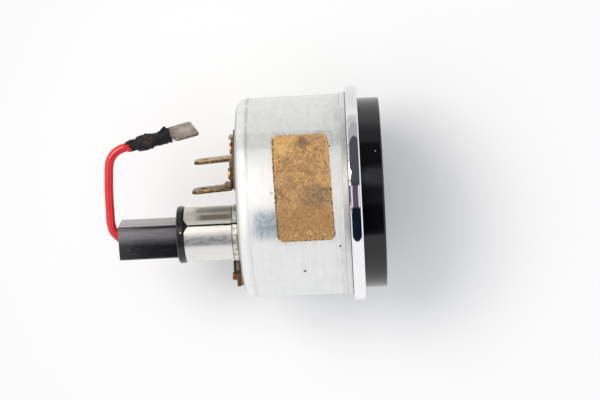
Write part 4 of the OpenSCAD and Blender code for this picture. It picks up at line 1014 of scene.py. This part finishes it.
def lettering(words, size, x, z):
    """Plain figures standing on the dial, centred on a place."""
    deselect()
    bpy.ops.object.text_add()
    text = bpy.context.object
    text.data.body = words
    text.data.size = size * MM
    text.data.align_x, text.data.align_y = "CENTER", "CENTER"
    text.data.extrude = text.data.offset = ink_t / 2 * MM
    text.data.resolution_u = 6
    bpy.ops.object.convert(target="MESH")
    return placed(bpy.context.object, turned("X", 90), moved(x, dial_y - ink_t / 2, z))


figures = []
for i, number in enumerate(("50", "75", "100", "125", "150")):
    angle = radians(-sweep + 25 * i)
    figures.append(lettering(number, number_size, number_r * sin(angle), number_r * cos(angle)))
figures.append(lettering("°C", 4.0, 0, -8.6))
fitted(joined("dial_numbers", figures), "gauge", "dial_print", dial_white)

# The pointer: a flat off-white needle with a short tail, pressed on the shaft under a round black
# cap. At rest it stands 50 degrees left of 12 o'clock.
needle_paint = Finish("needle_paint", Roughness=0.45)
enamel = needle_paint.noise(0.8, 4, 0.6)
needle_paint.give(Base_Color=enamel.mix((0.76, 0.72, 0.62), (0.86, 0.83, 0.74)))
needle_paint.coat(needle_paint.along((-0.766, 0, 0.643)).step(-1.0, -1.2), (0.015, 0.015, 0.016))
needle_paint.bump(enamel, 0.01)
needle = drawn("needle_blade", [
    (-1.1, -5.5), (1.1, -5.5), (1.1, -1.5), (0.9, 0.0), (0.42, 15.5), (0.12, 17.4), (0.0, 17.5),
    (-0.12, 17.4), (-0.42, 15.5), (-0.9, 0.0), (-1.1, -1.5)], 0.4)
eased(placed(needle, moved(y=0.9)), 0.08, 2)
hub = spun("needle_hub", [(0.53, 0.7), (1.35, 0.7), (1.5, 0.85), (1.5, 2.05), (1.35, 2.2), (0.53, 2.2)], 64)
placed(cut(needle, hub, how="UNION"), turned("Y", -sweep))
fitted(smoothed(needle), "pointer", "needle_paint", needle_paint, "pointer_needle")

matt_black = mottled("matt_black", (0.014, 0.014, 0.015), (0.03, 0.03, 0.032), (0.6, 4, 0.65),
                     (0.42, 0.62), 0.02)
cap = spun("pointer_cap_moulded", [(0, -0.4), (0.6, -0.4), (0.9, -0.32), (1.2, -0.4)]
           + arc(2.6, 0.2, 0.6, -90, 0, 8) + [(3.2, 0.6), (3.1, 0.7), (0, 0.7)], 96, closed=False)
fitted(smoothed(cap, 40), "pointer", "black_matt", matt_black, "pointer_cap")

# The front: a matt black spacer and a rubber seal under the glass, and a glossy black moulded
# hood round it, all gripped by the bezel.
painted(matt_black, "dial_spacer")
painted(mottled("seal_rubber", (0.012, 0.012, 0.012), (0.035, 0.034, 0.033), (0.8, 4, 0.7), 0.8),
        "mouth_seal")
painted(clear_glass, "front_glass")

gloss = Finish("gloss_black", IOR=1.5)
haze = gloss.noise(5.0, 4, 0.6, shift=3.0)
# A rougher scuffed spot and band, with a painted sheen laid in their colour.
scuff_and_painted_sheen = (gloss.spot((3.6, -3.8, 24.4), 0.0, 3.4) * 0.9
            | gloss.x.band(2.6, 4.8, 2.2) * 0.55) * gloss.z.step(15, 20)
gloss.give(Base_Color=haze.mix((0.0015, 0.0015, 0.002), (0.0035, 0.0035, 0.0045)),
           Roughness=scuff_and_painted_sheen.blend(haze.blend(0.1, 0.17), 0.38))
gloss.coat(scuff_and_painted_sheen, (0.032, 0.034, 0.045))
specks = (gloss.spot((9.95, -6.85, 22.5), 0.12, 0.12)
          | gloss.noise(0.34, 2, 0.6, shift=12.0).step(0.8, 0.84))
gloss.coat(specks * 0.7, (0.42, 0.4, 0.36))
gloss.bump(gloss.noise(0.3, 3, 0.6, (60, 1, 60)), 0.006)
front_hood = spun("front_hood_moulded", [
    (23.55, -1.7), (27.25, -1.7), (27.25, -2.5), (24.65, -2.5)] + arc(24.15, -8.1, 0.5, 0, -90, 8)
    + arc(23.75, -8.3, 0.3, -90, -180, 6)
    + [(23.35, -5.2), (22.4, -4.4), (22.25, -4.2), (22.25, -3.2), (23.55, -3.2)], 220)
fitted(smoothed(front_hood), "gauge", "black_gloss", gloss, "front_hood")

# The bezel: a chromed brass ring with a barely crowned rim, spun over the can's flange, and a
# skirt that hugs the can behind it, where rust and dirt have crept in.
chrome = Finish("bezel_chrome", Metallic=1.0)
smudge = chrome.noise(2.8, 5, 0.6)
behind = chrome.y.step(0.0, 0.06)
above = chrome.z.step(10, 12)
chipped = chrome.x.band(7.6, 11.9, 0.4) | chrome.x.band(2.0, 3.2, 0.4) | chrome.x.band(-4.6, -2.7, 0.4)
chips = (chrome.y.band(-0.42, 0.02, 0.1) * chipped * above
         * chrome.noise(0.42, 4, 0.7, shift=9.0).step(0.46, 0.54))
# A dark line where the bezel meets the can, and a painted shadow along its rear edge on the side facing up.
dark_gap_and_edge_shadow = (chrome.y.band(0.02, 0.16, 0.06)
            | chrome.y.band(-0.36, 0.1, 0.08) * chrome.x.band(-2.4, 1.5, 0.4) * above)
chrome.give(Base_Color=smudge.mix((0.9, 0.9, 0.915), (0.95, 0.95, 0.96)),
            Roughness=(chips | behind | dark_gap_and_edge_shadow).blend(smudge.blend(0.03, 0.08), 0.45))
# Painted reflection: the bezel's upper side, towards +X, is a darker bluish grey.
chrome.coat(chrome.x.step(17, 23), (0.74, 0.745, 0.775))
chrome.coat(behind, (0.82, 0.82, 0.8))
dirty = behind * chrome.noise(0.9, 5, 0.7, (1.5, 1, 1.5), 3.0).step(0.44, 0.7)
chrome.coat(dirty * 0.35, (0.52, 0.5, 0.45))
pins = chrome.noise(0.3, 2, 0.6, shift=15.0).step(0.8, 0.84) * 0.4
chrome.coat(pins | dark_gap_and_edge_shadow, (0.1, 0.1, 0.13))
chrome.coat(chips, chrome.x.step(3, 6).mix((0.26, 0.19, 0.14), (0.42, 0.41, 0.39)))
chrome.bump(chips, 0.03)
bezel_r, crown_h, rim_y, rim_half = 27.95, 0.076, -1.45, 1.13
crown = [(bezel_r - crown_h * (i / 5) ** 2, rim_y + rim_half * i / 5) for i in range(-5, 6)]
chrome_bezel = spun("chrome_bezel_ring", [(24.75, -2.98), (24.8, -3.0)]
                    + arc(27.46, -2.59, 0.41, -90, -8, 8) + crown + arc(27.56, -0.31, 0.31, 8, 90, 7)
                    + [(26.42, 0.0), (26.35, 0.07), (26.35, 1.43), (26.28, 1.5), (25.95, 1.5), (25.9, 1.45),
                       (25.9, -0.5), (27.45, -0.5), (27.45, -2.5), (24.75, -2.5)], 240)
fitted(smoothed(chrome_bezel, 30), "gauge", "chrome", chrome, "chrome_bezel")
